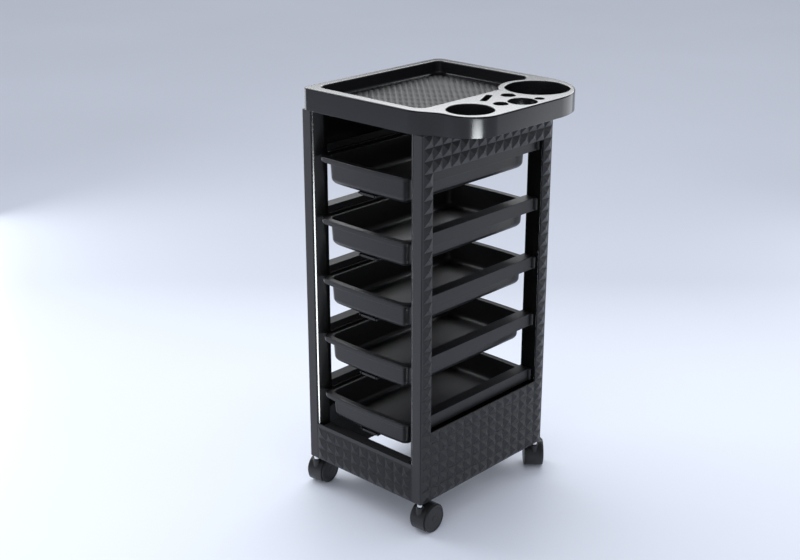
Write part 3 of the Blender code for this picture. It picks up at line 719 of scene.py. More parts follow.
# ---------------------------------------------------------------- repeated relief
@dataclass
class PyramidRelief:
    """Low pyramids in rows, moulded side by side on a flat wall."""

    height: float = 0.0035
    ridge: float = 0.00085
    foot: float = 0.0004
    sink: float = 0.0004
    tree: bpy.types.NodeTree | None = None

    def tile(self, length: float, rise: float) -> bpy.types.Mesh:
        """One pyramid of unit base, whose ridges and foot are eased.

        Args:
            length: Length of its side when placed, which sets how wide the eased ridges look.
            rise: Its height when placed.

        Returns:
            The pyramid's mesh, one unit long, wide and high.
        """
        form = Form()
        width, low = self.ridge / length, self.foot / length
        corners = [(-1, -1), (1, -1), (1, 1), (-1, 1)]
        half = 0.5 - low
        step = Vector((-width, width)) / 2
        bottom = form.ring([(x * 0.5, y * 0.5, -self.sink / rise) for x, y in corners])
        rim = form.ring([(x * 0.5, y * 0.5, 0) for x, y in corners])
        top_z = 1 - width * 0.9
        facet = []
        for k, (x, y) in enumerate(corners):
            after = corners[(k + 1) % 4]
            along = Vector((after[0] - x, after[1] - y)) / 2
            inward = along.orthogonal()
            middle = Vector(((x + after[0]) / 2, (y + after[1]) / 2))
            left = middle * half - along * (half - width / 2)
            right = middle * half + along * (half - width / 2)
            peak = -inward * width * 0.75
            peaks = (peak - along * step.y, peak + along * step.y)
            facet.append(form.ring([
                (*left, low), (*right, low), (*peaks[1], top_z), (*peaks[0], top_z)]))
        for k in range(4):
            left, right, high_right, high_left = facet[k]
            following = facet[(k + 1) % 4]
            form.build.faces.new([left, right, high_right, high_left])
            form.build.faces.new([right, following[0], following[3], high_right])
            form.build.faces.new([rim[k], rim[(k + 1) % 4], right, left])
            form.build.faces.new([rim[(k + 1) % 4], following[0], right])
            form.build.faces.new([bottom[k], bottom[(k + 1) % 4], rim[(k + 1) % 4], rim[k]])
        form.cap([v for k in range(4) for v in (facet[k][3], facet[k][2])])
        form.cap(bottom)
        return form.mesh("pyramid_tile")

    def make_tree(self) -> bpy.types.NodeTree:
        """The tree that sets pyramids in columns and rows."""
        number, whole = "NodeSocketFloat", "NodeSocketInt"
        graph = group_tree(
            "pyramid_rows", "GeometryNodeTree",
            [("Tile", "NodeSocketObject", None), ("Columns", whole, 1), ("Rows", whole, 1),
             ("Column pitch", number, 0.026), ("Row pitch", number, 0.026),
             ("Height", number, 0.0035), ("Finish", "NodeSocketMaterial", None)],
            [("Geometry", "NodeSocketGeometry")])
        given = graph.add("NodeGroupInput").outputs
        count = graph.math("MULTIPLY", given["Columns"], given["Rows"])
        row, column = graph.cell(given["Columns"])
        across = graph.math("MULTIPLY", graph.math("ADD", column, 0.5), given["Column pitch"])
        up = graph.math("MULTIPLY", graph.math("ADD", row, 0.5), given["Row pitch"])
        place = graph.add("ShaderNodeCombineXYZ", {0: across, 1: up}).outputs[0]
        points = graph.add("GeometryNodePoints", {"Count": count, "Position": place}).outputs[0]
        graph.scatter(given, points, (given["Column pitch"], given["Row pitch"]))
        return graph.tree

    def block(self, columns: int, rows: int, low: tuple[float, float], high: tuple[float, float],
              wall: Matrix, finish: bpy.types.Material) -> bpy.types.Mesh:
        """One rectangle of pyramids on a wall.

        Args:
            columns: How many stand side by side.
            rows: How many rows there are.
            low: The rectangle's lowest corner on the wall.
            high: Its highest corner.
            wall: Turns (along the wall, up it, out of it) into the cabinet's layout.
            finish: The material that they wear.

        Returns:
            The pyramids as one plain mesh in the cabinet's layout.
        """
        self.tree = self.tree or self.make_tree()
        pitch = ((high[0] - low[0]) / columns, (high[1] - low[1]) / rows)
        tile = placed("pyramid_tile", eased(self.tile(min(pitch), self.height), 0))
        values = {
            "Tile": tile, "Columns": columns, "Rows": rows, "Column pitch": pitch[0],
            "Row pitch": pitch[1], "Height": self.height, "Finish": finish}
        mesh = grown(self.tree, values)
        bpy.data.objects.remove(tile)
        mesh.transform(wall @ Matrix.Translation((*low, 0)))
        if wall.determinant() < 0:
            mesh.flip_normals()
        return mesh


def grown(tree: bpy.types.NodeTree, values: dict[str, object]) -> bpy.types.Mesh:
    """Runs a geometry tree.

    Args:
        tree: The tree.
        values: Its inputs by name.

    Returns:
        The result as a plain mesh.
    """
    bed = placed("bed", bpy.data.meshes.new("bed"))
    growth = bed.modifiers.new("growth", "NODES")
    growth.node_group = tree
    for socket in tree.interface.items_tree:
        if socket.in_out == "INPUT" and socket.name in values:
            growth[socket.identifier] = values[socket.name]
    bed.update_tag()
    mesh = baked(bed)
    bpy.data.objects.remove(bed)
    return mesh


# ---------------------------------------------------------------- the cabinet
@dataclass
class Cabinet:
    """Two side covers, the inner frames behind them, their runner rails and two base panels."""

    layout: Layout
    relief: PyramidRelief = field(default_factory=PyramidRelief)
    width: float = 0.3284
    wall: float = 0.003
    gap: float = 0.0003
    cover_flange: float = 0.024
    cover_edge: float = 0.0032
    side_columns: int = 15
    side_border: float = 0.004
    end_border: float = 0.0015
    sill: float = 0.156
    header: float = 0.704
    rows: tuple[int, int, int] = (6, 21, 3)
    post: float = 0.0402
    post_lead: float = 0.0115
    lead_depth: float = 0.026
    post_edge: float = 0.006
    rail_top: float = 0.708
    rail_pitch: float = 0.1307
    rail_count: int = 5
    rail_height: float = 0.028
    rail_recess: float = 0.0132
    ledge_drop: float = 0.0298
    ledge_reach: float = 0.0105
    rib_drop: float = 0.0125
    rib_reach: float = 0.007
    lug_radius: float = 0.0045
    panel_height: float = 0.085
    panel_flange: float = 0.025
    panel_columns: int = 11
    panel_rows: int = 3
    panel_borders: tuple[float, float, float] = (0.0024, 0.001, 0.0085)

    @property
    def half(self) -> float:
        """Middle of the cabinet to a cover's plain outer face."""
        return self.width / 2

    @property
    def inner(self) -> float:
        """Middle of the cabinet to an inner frame's face."""
        return self.half - self.post

    @property
    def jamb(self) -> float:
        """Front plane to the front edge of a side window."""
        return self.side_border + (self.layout.depth - 2 * self.side_border) / self.side_columns

    def rail_tops(self) -> list[float]:
        """Heights of the rails' tops above the floor, from the highest."""
        top = self.layout.base_z + self.rail_top
        return [top - k * self.rail_pitch for k in range(self.rail_count)]

    def build(self, builder: Builder) -> None:
        """Builds and places every fixed piece below the tray.

        Args:
            builder: Places the pieces.
        """
        for side in Side:
            self.cover(builder, side)
            self.frame(builder, side)
            self.rails(builder, side)
        for end in End:
            self.panel(builder, end)

    def cover(self, builder: Builder, side: Side) -> None:
        """A side cover: a flanged sheet round a window, with its pyramids.

        Args:
            builder: Places the pieces.
            side: Which side it stands on.
        """
        sign, depth, half = side.value, self.layout.depth, self.half
        flange, back = half - self.cover_flange, half - self.wall
        low, high = self.layout.base_z, self.layout.top_z
        section = rounded([
            (flange, 0, 0), (half, 0, self.cover_edge), (half, depth, self.cover_edge),
            (flange, depth, 0), (flange, depth - self.wall, 0), (back, depth - self.wall, 0),
            (back, self.wall, 0), (flange, self.wall, 0)], 6)
        sheet, window = Form(), Form()
        sheet.prism([Vector((sign * p.x, p.y)) for p in section], low, high)
        window.box((sign * half - 0.02, self.jamb, low + self.sill),
                   (sign * half + 0.02, depth - self.jamb, low + self.header))
        name = f"side_cover_{side.name.lower()}"
        sheet_mesh = eased(sheet.mesh(name), 0.0006, cut=window.mesh("window"))
        wall = Matrix(((0, 0, sign, sign * half), (1, 0, 0, 0), (0, 1, 0, low), (0, 0, 0, 1)))
        finish = builder.materials[SATIN.name]
        edge, end = self.side_border, depth - self.side_border
        top = self.layout.top_z - low - self.end_border
        foot_rows, window_rows, head_rows = self.rows
        parts = [sheet_mesh]
        for columns, rows, corner, far in (
                (self.side_columns, foot_rows, (edge, self.end_border), (end, self.sill)),
                (1, window_rows, (edge, self.sill), (self.jamb, self.header)),
                (1, window_rows, (depth - self.jamb, self.sill), (end, self.header)),
                (self.side_columns, head_rows, (edge, self.header), (end, top))):
            parts.append(self.relief.block(columns, rows, corner, far, wall, finish))
        builder.piece(name, merged(name, parts), CABINET_BODY, [SATIN], [name])

    def frame(self, builder: Builder, side: Side) -> None:
        """An inner frame: two glossy posts with their header and sill beams.

        Args:
            builder: Places the pieces.
            side: Which side it stands on.
        """
        sign, depth, half = side.value, self.layout.depth, self.half
        step_x, back = half - self.cover_flange - self.gap, half - self.wall - self.gap
        step_y, lead = self.wall + self.gap, self.inner + self.post_lead
        section = rounded([
            (self.inner, self.lead_depth, 0.02), (lead, 0, self.post_edge), (step_x, 0, 0),
            (step_x, step_y, 0), (back, step_y, 0), (back, depth - step_y, 0),
            (step_x, depth - step_y, 0), (step_x, depth, 0), (lead, depth, self.post_edge),
            (self.inner, depth - self.lead_depth, 0.02)], 8)
        outline = [Vector((sign * p.x, p.y)) for p in section]
        tops = self.rail_tops()
        form, window = Form(), Form()
        panel_top = self.layout.base_z + self.panel_height + self.gap
        form.prism(outline, panel_top, self.layout.top_z)
        window.box(
            (sign * half - 0.06, self.jamb, tops[-1] - self.ledge_drop - self.wall - self.gap),
            (sign * half + 0.06, depth - self.jamb, tops[0] + self.gap))
        name = f"inner_frame_{side.name.lower()}"
        posts = eased(form.mesh(name), 0.0007, cut=window.mesh("window"))
        foot = Form()
        foot.box((sign * self.inner, step_y, self.layout.base_z),
                 (sign * back, depth - step_y, panel_top))
        builder.piece(
            name, merged(name, [posts, eased(foot.mesh("foot"), 0.0007)]), CABINET_BODY,
            [POST_GLOSS], [name])

    def rails(self, builder: Builder, side: Side) -> None:
        """The runner rails of one side, each with a ledge, a rib, and a rounded lug at each end.

        Args:
            builder: Places the pieces.
            side: Which side it stands on.
        """
        sign = side.value
        outer, inner = self.half - self.rail_recess, self.inner
        low, high = self.jamb + self.gap, self.layout.depth - self.jamb - self.gap
        section = [
            (outer, 0), (inner, 0), (inner, -self.rib_drop), (inner - self.rib_reach, -self.rib_drop),
            (inner - self.rib_reach, -self.rib_drop - self.wall), (inner, -self.rib_drop - self.wall),
            (inner, -self.ledge_drop), (inner - self.ledge_reach, -self.ledge_drop),
            (inner - self.ledge_reach, -self.ledge_drop - self.wall),
            (inner + self.wall, -self.ledge_drop - self.wall), (inner + self.wall, -self.wall),
            (outer - self.wall, -self.wall), (outer - self.wall, -self.rail_height),
            (outer, -self.rail_height)]
        for number, top in enumerate(self.rail_tops(), 1):
            form = Form()
            form.prism([Vector((sign * x, z)) for x, z in section], low, high, Axis.Y)
            radius = self.lug_radius
            for y in (low + radius, high - radius):
                form.lathe(
                    [(radius, 0.0015 - self.rail_height), (radius, -0.001)], 24,
                    centre=(sign * outer, y))
            name = f"runner_rail_{side.name.lower()}_{number}"
            # Each rail wears the rail finish, whose darker colour is partly painted shade.
            builder.piece(
                name, eased(form.mesh(name), 0.0007), CABINET_BODY, [RAIL_SATIN_PAINTED_SHADE], [name],
                Matrix.Translation((0, 0, top)))

    def panel(self, builder: Builder, end: End) -> None:
        """A base panel: low pyramids below a stiffening flange.

        Args:
            builder: Places the pieces.
            end: Which end it closes.
        """
        facing = end.value
        plane = 0.0 if end is End.FRONT else self.layout.depth
        half = self.half - self.cover_flange - self.gap
        low, reach = self.layout.base_z, self.inner - self.gap
        top = low + self.panel_height
        back, deep = plane - facing * self.wall, plane - facing * self.panel_flange
        sheet, flange = Form(), Form()
        sheet.box((-half, min(plane, back), low), (half, max(plane, back), top))
        flange.box((-reach, min(plane - facing * 0.001, deep), top - self.wall),
                   (reach, max(plane - facing * 0.001, deep), top))
        wall = Matrix((
            (-facing, 0, 0, 0), (0, 0, facing, plane), (0, 1, 0, low), (0, 0, 0, 1)))
        side_edge, foot_edge, head_edge = self.panel_borders
        pyramids = self.relief.block(
            self.panel_columns, self.panel_rows, (side_edge - half, foot_edge),
            (half - side_edge, self.panel_height - head_edge), wall,
            builder.materials[SATIN.name])
        name = f"base_panel_{end.name.lower()}"
        meshes = [eased(sheet.mesh(name), 0.0007), eased(flange.mesh("flange"), 0.0005), pyramids]
        builder.piece(name, merged(name, meshes), CABINET_BODY, [SATIN], [name])


# ---------------------------------------------------------------- drawers
@dataclass
class Drawers:
    """Five alike drawers: a tapered tub hung from a rim with a down-turned lip."""

    cabinet: Cabinet
    drop: float = 0.0185
    clearance: float = 0.0015
    front: float = 0.0035
    bow: float = 0.004
    rim_corner: float = 0.014
    corner_shrink: float = 0.1
    lip: float = 0.011
    taper: float = 0.020
    flange: float = 0.012
    depth: float = 0.059
    wall: float = 0.0025
    draft: float = 0.003
    edge: float = 0.014
    tab_width: float = 0.040
    tab_drop: float = 0.004
    peg_width: float = 0.0035

    def outline(self, inset: float) -> Outline:
        """The drawer's plan, bowed at the front and back, moved in from the rim.

        Args:
            inset: How far in from the rim's edge.

        Returns:
            The plan's points.
        """
        half = self.cabinet.inner - self.clearance - inset
        front = self.front + inset
        back = self.cabinet.layout.depth - self.front - inset
        radius = max(self.rim_corner - self.corner_shrink * inset, self.rim_corner / 3)
        spread = (-0.75, -0.5, -0.25, 0.0, 0.25, 0.5, 0.75)
        corners = [(-half, front, radius), *((half * s, front, 0) for s in spread),
                   (half, front, radius), (half, back, radius),
                   *((-half * s, back, 0) for s in spread), (-half, back, radius)]
        middle = self.cabinet.layout.depth / 2
        points = []
        for point in rounded(corners, 8):
            bow = self.bow * (1 - (point.x / half) ** 2)
            points.append(Vector((point.x, point.y + (bow if point.y > middle else -bow))))
        return points

    def levels(self) -> list[tuple[float, float, int]]:
        """The wall's section from the underside, over the rim and down to the floor.

        Returns:
            (inset, height, finish of the band that ends there) of each ring.
        """
        wall, foot, floor_edge = self.wall, self.flange + self.draft, self.edge - self.wall
        outside = [
            *quarter((foot + self.edge, -self.depth), (foot, self.edge - self.depth), 7, True),
            (self.flange + 0.0012, -wall - 0.002), (self.flange - 0.001, -wall),
            (wall, -wall), (wall, 0.0006 - self.lip), (wall - 0.0006, -self.lip)]
        rim = [
            (0.0006, -self.lip), (0, 0.0006 - self.lip),
            *quarter((0, -0.003), (0.003, 0), 6, False),
            *quarter((self.flange, 0), (self.flange + wall, -0.0025), 4, True)]
        # The inside takes the third finish, whose far darker colour is painted shade.
        inside = [
            *quarter((foot + wall, wall + floor_edge - self.depth),
                     (foot + wall + floor_edge, wall - self.depth), 7, False)]
        return [*((i, z, 0) for i, z in outside), *((i, z, 1) for i, z in rim),
                *((i, z, 2) for i, z in inside)]

    def build(self, builder: Builder) -> None:
        """Builds the drawers on their rails.

        Args:
            builder: Places the pieces.
        """
        for number, top in enumerate(self.cabinet.rail_tops(), 1):
            form = Form()
            levels = self.levels()
            lip = [k for k, (inset, z, _) in enumerate(levels)
                   if inset <= self.wall and z < 0.002 - self.lip]
            rings = [
                form.ring([(p.x, p.y, self.tapered(p, z) if k in lip else z)
                           for p in self.outline(i)]) for k, (i, z, _) in enumerate(levels)]
            for pair, level in zip(zip(rings, rings[1:]), levels[1:]):
                form.skin(pair, level[2])
            form.cap(rings[0], 0)
            form.cap(rings[-1], 2)
            name = f"drawer_{number}"
            tub = eased(form.mesh(name), 0)
            mesh = merged(name, [tub, eased(self.tab(), 0.0008)])
            builder.piece(
                name, mesh, name, [DRAWER_OUTSIDE, DRAWER_RIM, DRAWER_INSIDE_PAINTED_SHADE], [name],
                Matrix.Translation((0, 0, top - self.drop)))

    def tapered(self, point: Vector, height: float) -> float:
        """Height of the lip's edge, which climbs from the front and back towards the sides.

        Args:
            point: A point of the plan.
            height: The edge's height at the front.

        Returns:
            The edge's height at that point.
        """
        half = self.cabinet.inner - self.clearance
        share = min(max((abs(point.x) - half + self.taper) / self.taper, 0.0), 1.0)
        return height + (self.lip - self.wall - 0.0012) * share ** 1.6

    def tab(self) -> bpy.types.Mesh:
        """The pull tab under the front wall, between two short pegs."""
        form = Form()
        front = self.front + self.flange + self.draft - self.bow + 0.0035
        half, under = self.tab_width / 2, -self.depth
        form.box((-half, front, under - self.tab_drop), (half, front + 0.014, under + 0.001))
        for sign in (-1, 1):
            x0, x1 = sorted((sign * (half + 0.002), sign * (half + 0.002 + self.peg_width)))
            form.box((x0, front, under - self.tab_drop * 0.8), (x1, front + 0.012, under + 0.001))
        return form.mesh("tab")


# ---------------------------------------------------------------- top tray
@dataclass
class TopTray:
    """The moulded top: a skirted rim with a tool recess, cup wells, tool holes and a slot."""

    layout: Layout
    height: float = 0.046
    wall: float = 0.003
    gap: float = 0.0003
    left: float = -0.1575
    right: float = 0.278
    front: float = -0.005
    overhang: float = 0.001
    edge: float = 0.003
    lobe_front: float = 0.018
    lobe_corner: float = 0.062
    back_corner: float = 0.130
    left_corners: tuple[float, float] = (0.014, 0.022)
    lobe_rise: float = 0.006
    shoulder: tuple[float, float] = (0.1444, 0.1925)
    recess_x: tuple[float, float] = (-0.1375, 0.1425)
    recess_y: tuple[float, float] = (0.0185, 0.382)
    recess_depth: float = 0.027
    land: float = 0.0145
    large_cup: Point = (0.1885, 0.3120, 0.0645)
    medium_cup: Point = (0.2125, 0.0780, 0.0455)
    tool_holes: tuple[Point, ...] = (
        (0.2418, 0.1970, 0.0285), (0.1885, 0.2195, 0.0145), (0.2240, 0.1535, 0.0145),
        (0.2512, 0.2376, 0.0095))
    sleeve: float = 0.030
    slot_centre: tuple[float, float] = (0.1730, 0.1715)
    slot_size: tuple[float, float] = (0.055, 0.013)
    slot_turn: float = radians(116)
    lattice_pitch: float = 0.0166
    lattice_height: float = 0.00045
    lattice_border: float = 0.018
    bite_end: float = pi - asin(0.54)
    back_slant: float = 0.6

    @property
    def top(self) -> float:
        """Height of the rim above the floor."""
        return self.layout.top_z + self.height

    def plan(self) -> Outline:
        """Plan of the skirt: a cabinet top that swells to a lobe over the right-hand side."""
        back = self.layout.depth + self.overhang
        return rounded([
            (self.left, self.front, self.left_corners[0]), (self.shoulder[0], self.front, 0.080),
            (self.shoulder[1], self.lobe_front, 0.060),
            (self.right, self.lobe_front, self.lobe_corner),
            (self.right, back, self.back_corner),
            (self.left, back, self.left_corners[1])], 14)

    def rise(self, x: float) -> float:
        """How far the skirt's edge has risen at x, on its way to the lobe's end."""
        half = self.shoulder[0] + 0.02
        return self.lobe_rise * min(max((x - half) / (self.right - half), 0.0), 1.0)

    def recess(self) -> Outline:
        """Plan of the tool recess, cut back along an arc round the large cup well."""
        x, y, radius = self.large_cup
        (left, right), (front, back) = self.recess_x, self.recess_y
        land = radius + self.land
        corner = y - (land ** 2 - (x - right) ** 2) ** 0.5
        start = atan2(corner - y, right - x)
        sweep = self.bite_end - (start + 2 * pi)
        steps = 14
        bite = [(x + land * cos(start + sweep * k / steps), y + land * sin(start + sweep * k / steps),
                 0.006 if k in (0, steps) else 0) for k in range(steps + 1)]
        return rounded([
            (left, front, 0.022), (right, front, 0.022), *bite, (*self.recess_shoulder, 0.010),
            (left, back, 0.014)], 8)

    @property
    def recess_shoulder(self) -> tuple[float, float]:
        """Where the recess's back edge ends, behind the large cup well."""
        x, y, radius = self.large_cup
        land = radius + self.land
        tip = (x + land * cos(self.bite_end), y + land * sin(self.bite_end))
        return tip[0] - (self.recess_y[1] - tip[1]) * self.back_slant, self.recess_y[1]

    def slot(self) -> Outline:
        """Plan of the comb slot."""
        half_l, half_w = self.slot_size[0] / 2, self.slot_size[1] / 2
        flat = rounded([(-half_l, -half_w, half_w * 0.6), (half_l, -half_w, half_w * 0.6),
                        (half_l, half_w, half_w * 0.6), (-half_l, half_w, half_w * 0.6)], 5)
        turn = Matrix.Rotation(self.slot_turn, 2)
        return [turn @ point + Vector(self.slot_centre) for point in flat]

    def build(self, builder: Builder) -> None:
        """Builds the tray and the lattice on its recess's floor.

        Args:
            builder: Places the pieces.
        """
        form = Form()
        plan, top = self.plan(), self.top
        skirt, under = self.layout.top_z + self.gap, self.top - self.wall

        def rings(outline: Outline, levels: Sequence[tuple[float, float]],
                  rising: bool = False) -> list:
            """Rings at each (inset, height), whose low ones may rise with the lobe.

            Args:
                outline: The plan.
                levels: (inset, height) of each ring.
                rising: True if the low rings follow the skirt's rise.

            Returns:
                The rings.
            """
            return [form.ring([
                (p.x, p.y, z + (self.rise(p.x) if rising and z < skirt + 0.003 else 0))
                for p in offset(outline, inset)]) for inset, z in levels]

        outer = rings(plan, [
            (self.wall, under), (self.wall, skirt + 0.0006), (self.wall - 0.0006, skirt),
            (0.0008, skirt), (0, skirt + 0.0008), (0, top - self.edge - 0.004),
            *quarter((0, top - self.edge), (self.edge, top), 6, False),
            (self.edge + 0.0008, top)], rising=True)
        form.skin(outer)
        tops, unders = [outer[-1]], [outer[0]]
        floor = top - self.recess_depth
        pocket = rings(self.recess(), [
            (-0.0033, top), *quarter((-0.0025, top), (0, top - 0.0025), 5, True),
            *quarter((0.0012, floor + 0.005), (0.006, floor), 5, False), (0.0068, floor)])
        form.skin(pocket)
        # The recess floor takes the second finish, whose darker colour is painted shade.
        form.fill([pocket[-1]], 1)
        hull = rings(self.recess(), [(-self.wall, under), (-self.wall, floor - self.wall)])
        form.skin(hull)
        form.fill([hull[-1]])
        tops.append(pocket[0])
        unders.append(hull[0])
        for x, y, radius in (self.large_cup, self.medium_cup):
            base = skirt + self.wall + self.lobe_rise
            round_plan = circle(x, y, radius, 72)
            cup = rings(round_plan, [
                (-0.0027, top), *quarter((-0.002, top), (0, top - 0.002), 4, True),
                *quarter((0.0015, base + 0.005), (0.0065, base), 5, False)])
            form.skin(cup)
            form.cap(cup[-1])
            shell = rings(round_plan, [(-self.wall, under), (-self.wall, skirt + self.lobe_rise)])
            form.skin(shell)
            form.cap(shell[-1])
            tops.append(cup[0])
            unders.append(shell[0])
        sleeves = [circle(x, y, radius, 48) for x, y, radius in self.tool_holes]
        end = top - self.sleeve
        for outline in [*sleeves, self.slot()]:
            hole = rings(outline, [
                (-0.002, top), *quarter((-0.0014, top), (0, top - 0.0014), 4, True),
                (0, end), (-0.002, end), (-0.002, under)])
            form.skin(hole)
            tops.append(hole[0])
            unders.append(hole[-1])
        form.fill(tops)
        form.fill(unders)
        name = "top_tray"
        tray = eased(form.mesh(name), 0)
        builder.piece(name, tray, CABINET_BODY, [TRAY_GLOSS, RECESS_FLOOR_PAINTED_SHADE], [name])
        lattice = self.lattice(builder)
        builder.piece("recess_lattice", lattice, CABINET_BODY, [RECESS_FLOOR_PAINTED_SHADE])

    def lattice_tree(self) -> bpy.types.NodeTree:
        """The tree that sets low diamond points inside the recess's plain border."""
        number, vector = "NodeSocketFloat", "NodeSocketVector"
        graph = group_tree(
            "diamond_lattice", "GeometryNodeTree",
            [("Tile", "NodeSocketObject", None), ("Low corner", vector, None),
             ("High corner", vector, None), ("Pitch", number, 0.0166), ("Height", number, 0.0009),
             ("Well", vector, None), ("Well radius", number, 0.09),
             ("Shoulder", vector, None), ("Shoulder way", vector, None),
             ("Finish", "NodeSocketMaterial", None)],
            [("Geometry", "NodeSocketGeometry")])
        given = graph.add("NodeGroupInput").outputs
        low = graph.add("ShaderNodeSeparateXYZ", {0: given["Low corner"]}).outputs
        high = graph.add("ShaderNodeSeparateXYZ", {0: given["High corner"]}).outputs
        step = graph.math("MULTIPLY", given["Pitch"], 0.5)
        columns = graph.math(
            "CEIL", graph.math("DIVIDE", graph.math("SUBTRACT", high[0], low[0]), given["Pitch"]))
        rows = graph.math("CEIL", graph.math("DIVIDE", graph.math("SUBTRACT", high[1], low[1]), step))
        row, column = graph.cell(columns)
        odd = graph.math("MULTIPLY", graph.math("MODULO", row, 2.0), step)
        x = graph.math("ADD", graph.math("MULTIPLY_ADD", column, given["Pitch"], odd), low[0])
        y = graph.math("MULTIPLY_ADD", row, step, low[1])
        place = graph.add("ShaderNodeCombineXYZ", {0: x, 1: y, 2: low[2]}).outputs[0]
        count = graph.math("MULTIPLY", columns, rows)
        points = graph.add("GeometryNodePoints", {"Count": count, "Position": place}).outputs[0]
        here = graph.add("GeometryNodeInputPosition").outputs[0]
        split = graph.add("ShaderNodeSeparateXYZ", {0: here}).outputs
        from_well = graph.add(
            "ShaderNodeVectorMath", {0: here, 1: given["Well"]}, operation="DISTANCE").outputs["Value"]
        from_shoulder = graph.add(
            "ShaderNodeVectorMath", {0: here, 1: given["Shoulder"]}, operation="SUBTRACT").outputs[0]
        past = graph.add(
            "ShaderNodeVectorMath", {0: from_shoulder, 1: given["Shoulder way"]},
            operation="DOT_PRODUCT").outputs["Value"]
        outside = [
            graph.math("LESS_THAN", from_well, given["Well radius"]),
            graph.math("GREATER_THAN", past, 0.0),
            graph.math("GREATER_THAN", split[0], high[0])]
        drop = graph.math("MAXIMUM", graph.math("MAXIMUM", outside[0], outside[1]), outside[2])
        kept = graph.add(
            "GeometryNodeDeleteGeometry", {"Geometry": points, "Selection": drop}).outputs[0]
        side = graph.math("MULTIPLY", given["Pitch"], DIAGONAL)
        turn = graph.add("FunctionNodeEulerToRotation", {0: (0.0, 0.0, pi / 4)}).outputs[0]
        graph.scatter(given, kept, (side, side), {"Rotation": turn})
        return graph.tree

    def lattice(self, builder: Builder) -> bpy.types.Mesh:
        """The diamond points on the recess's floor.

        Args:
            builder: Holds the finishes.

        Returns:
            The points as one mesh, in the cabinet's layout.
        """
        relief = PyramidRelief(ridge=0.0016, foot=0.0003, sink=0.0003)
        tile_length = self.lattice_pitch * DIAGONAL
        stud = placed("stud", eased(relief.tile(tile_length, self.lattice_height), 0))
        border = self.lattice_border
        (left, right), (front, back) = self.recess_x, self.recess_y
        floor = self.top - self.recess_depth
        cup_x, cup_y, radius = self.large_cup
        shoulder = Vector((*self.recess_shoulder, floor))
        way = Vector((1.0, self.back_slant, 0.0)).normalized()
        mesh = grown(self.lattice_tree(), {
            "Tile": stud, "Low corner": (left + border, front + border, floor),
            "High corner": (right - border, back - border, floor), "Pitch": self.lattice_pitch,
            "Height": self.lattice_height, "Well": (cup_x, cup_y, floor),
            "Well radius": radius + self.land + border, "Shoulder": shoulder - way * border,
            "Shoulder way": way, "Finish": builder.materials[RECESS_FLOOR_PAINTED_SHADE.name]})
        bpy.data.objects.remove(stud)
        return mesh


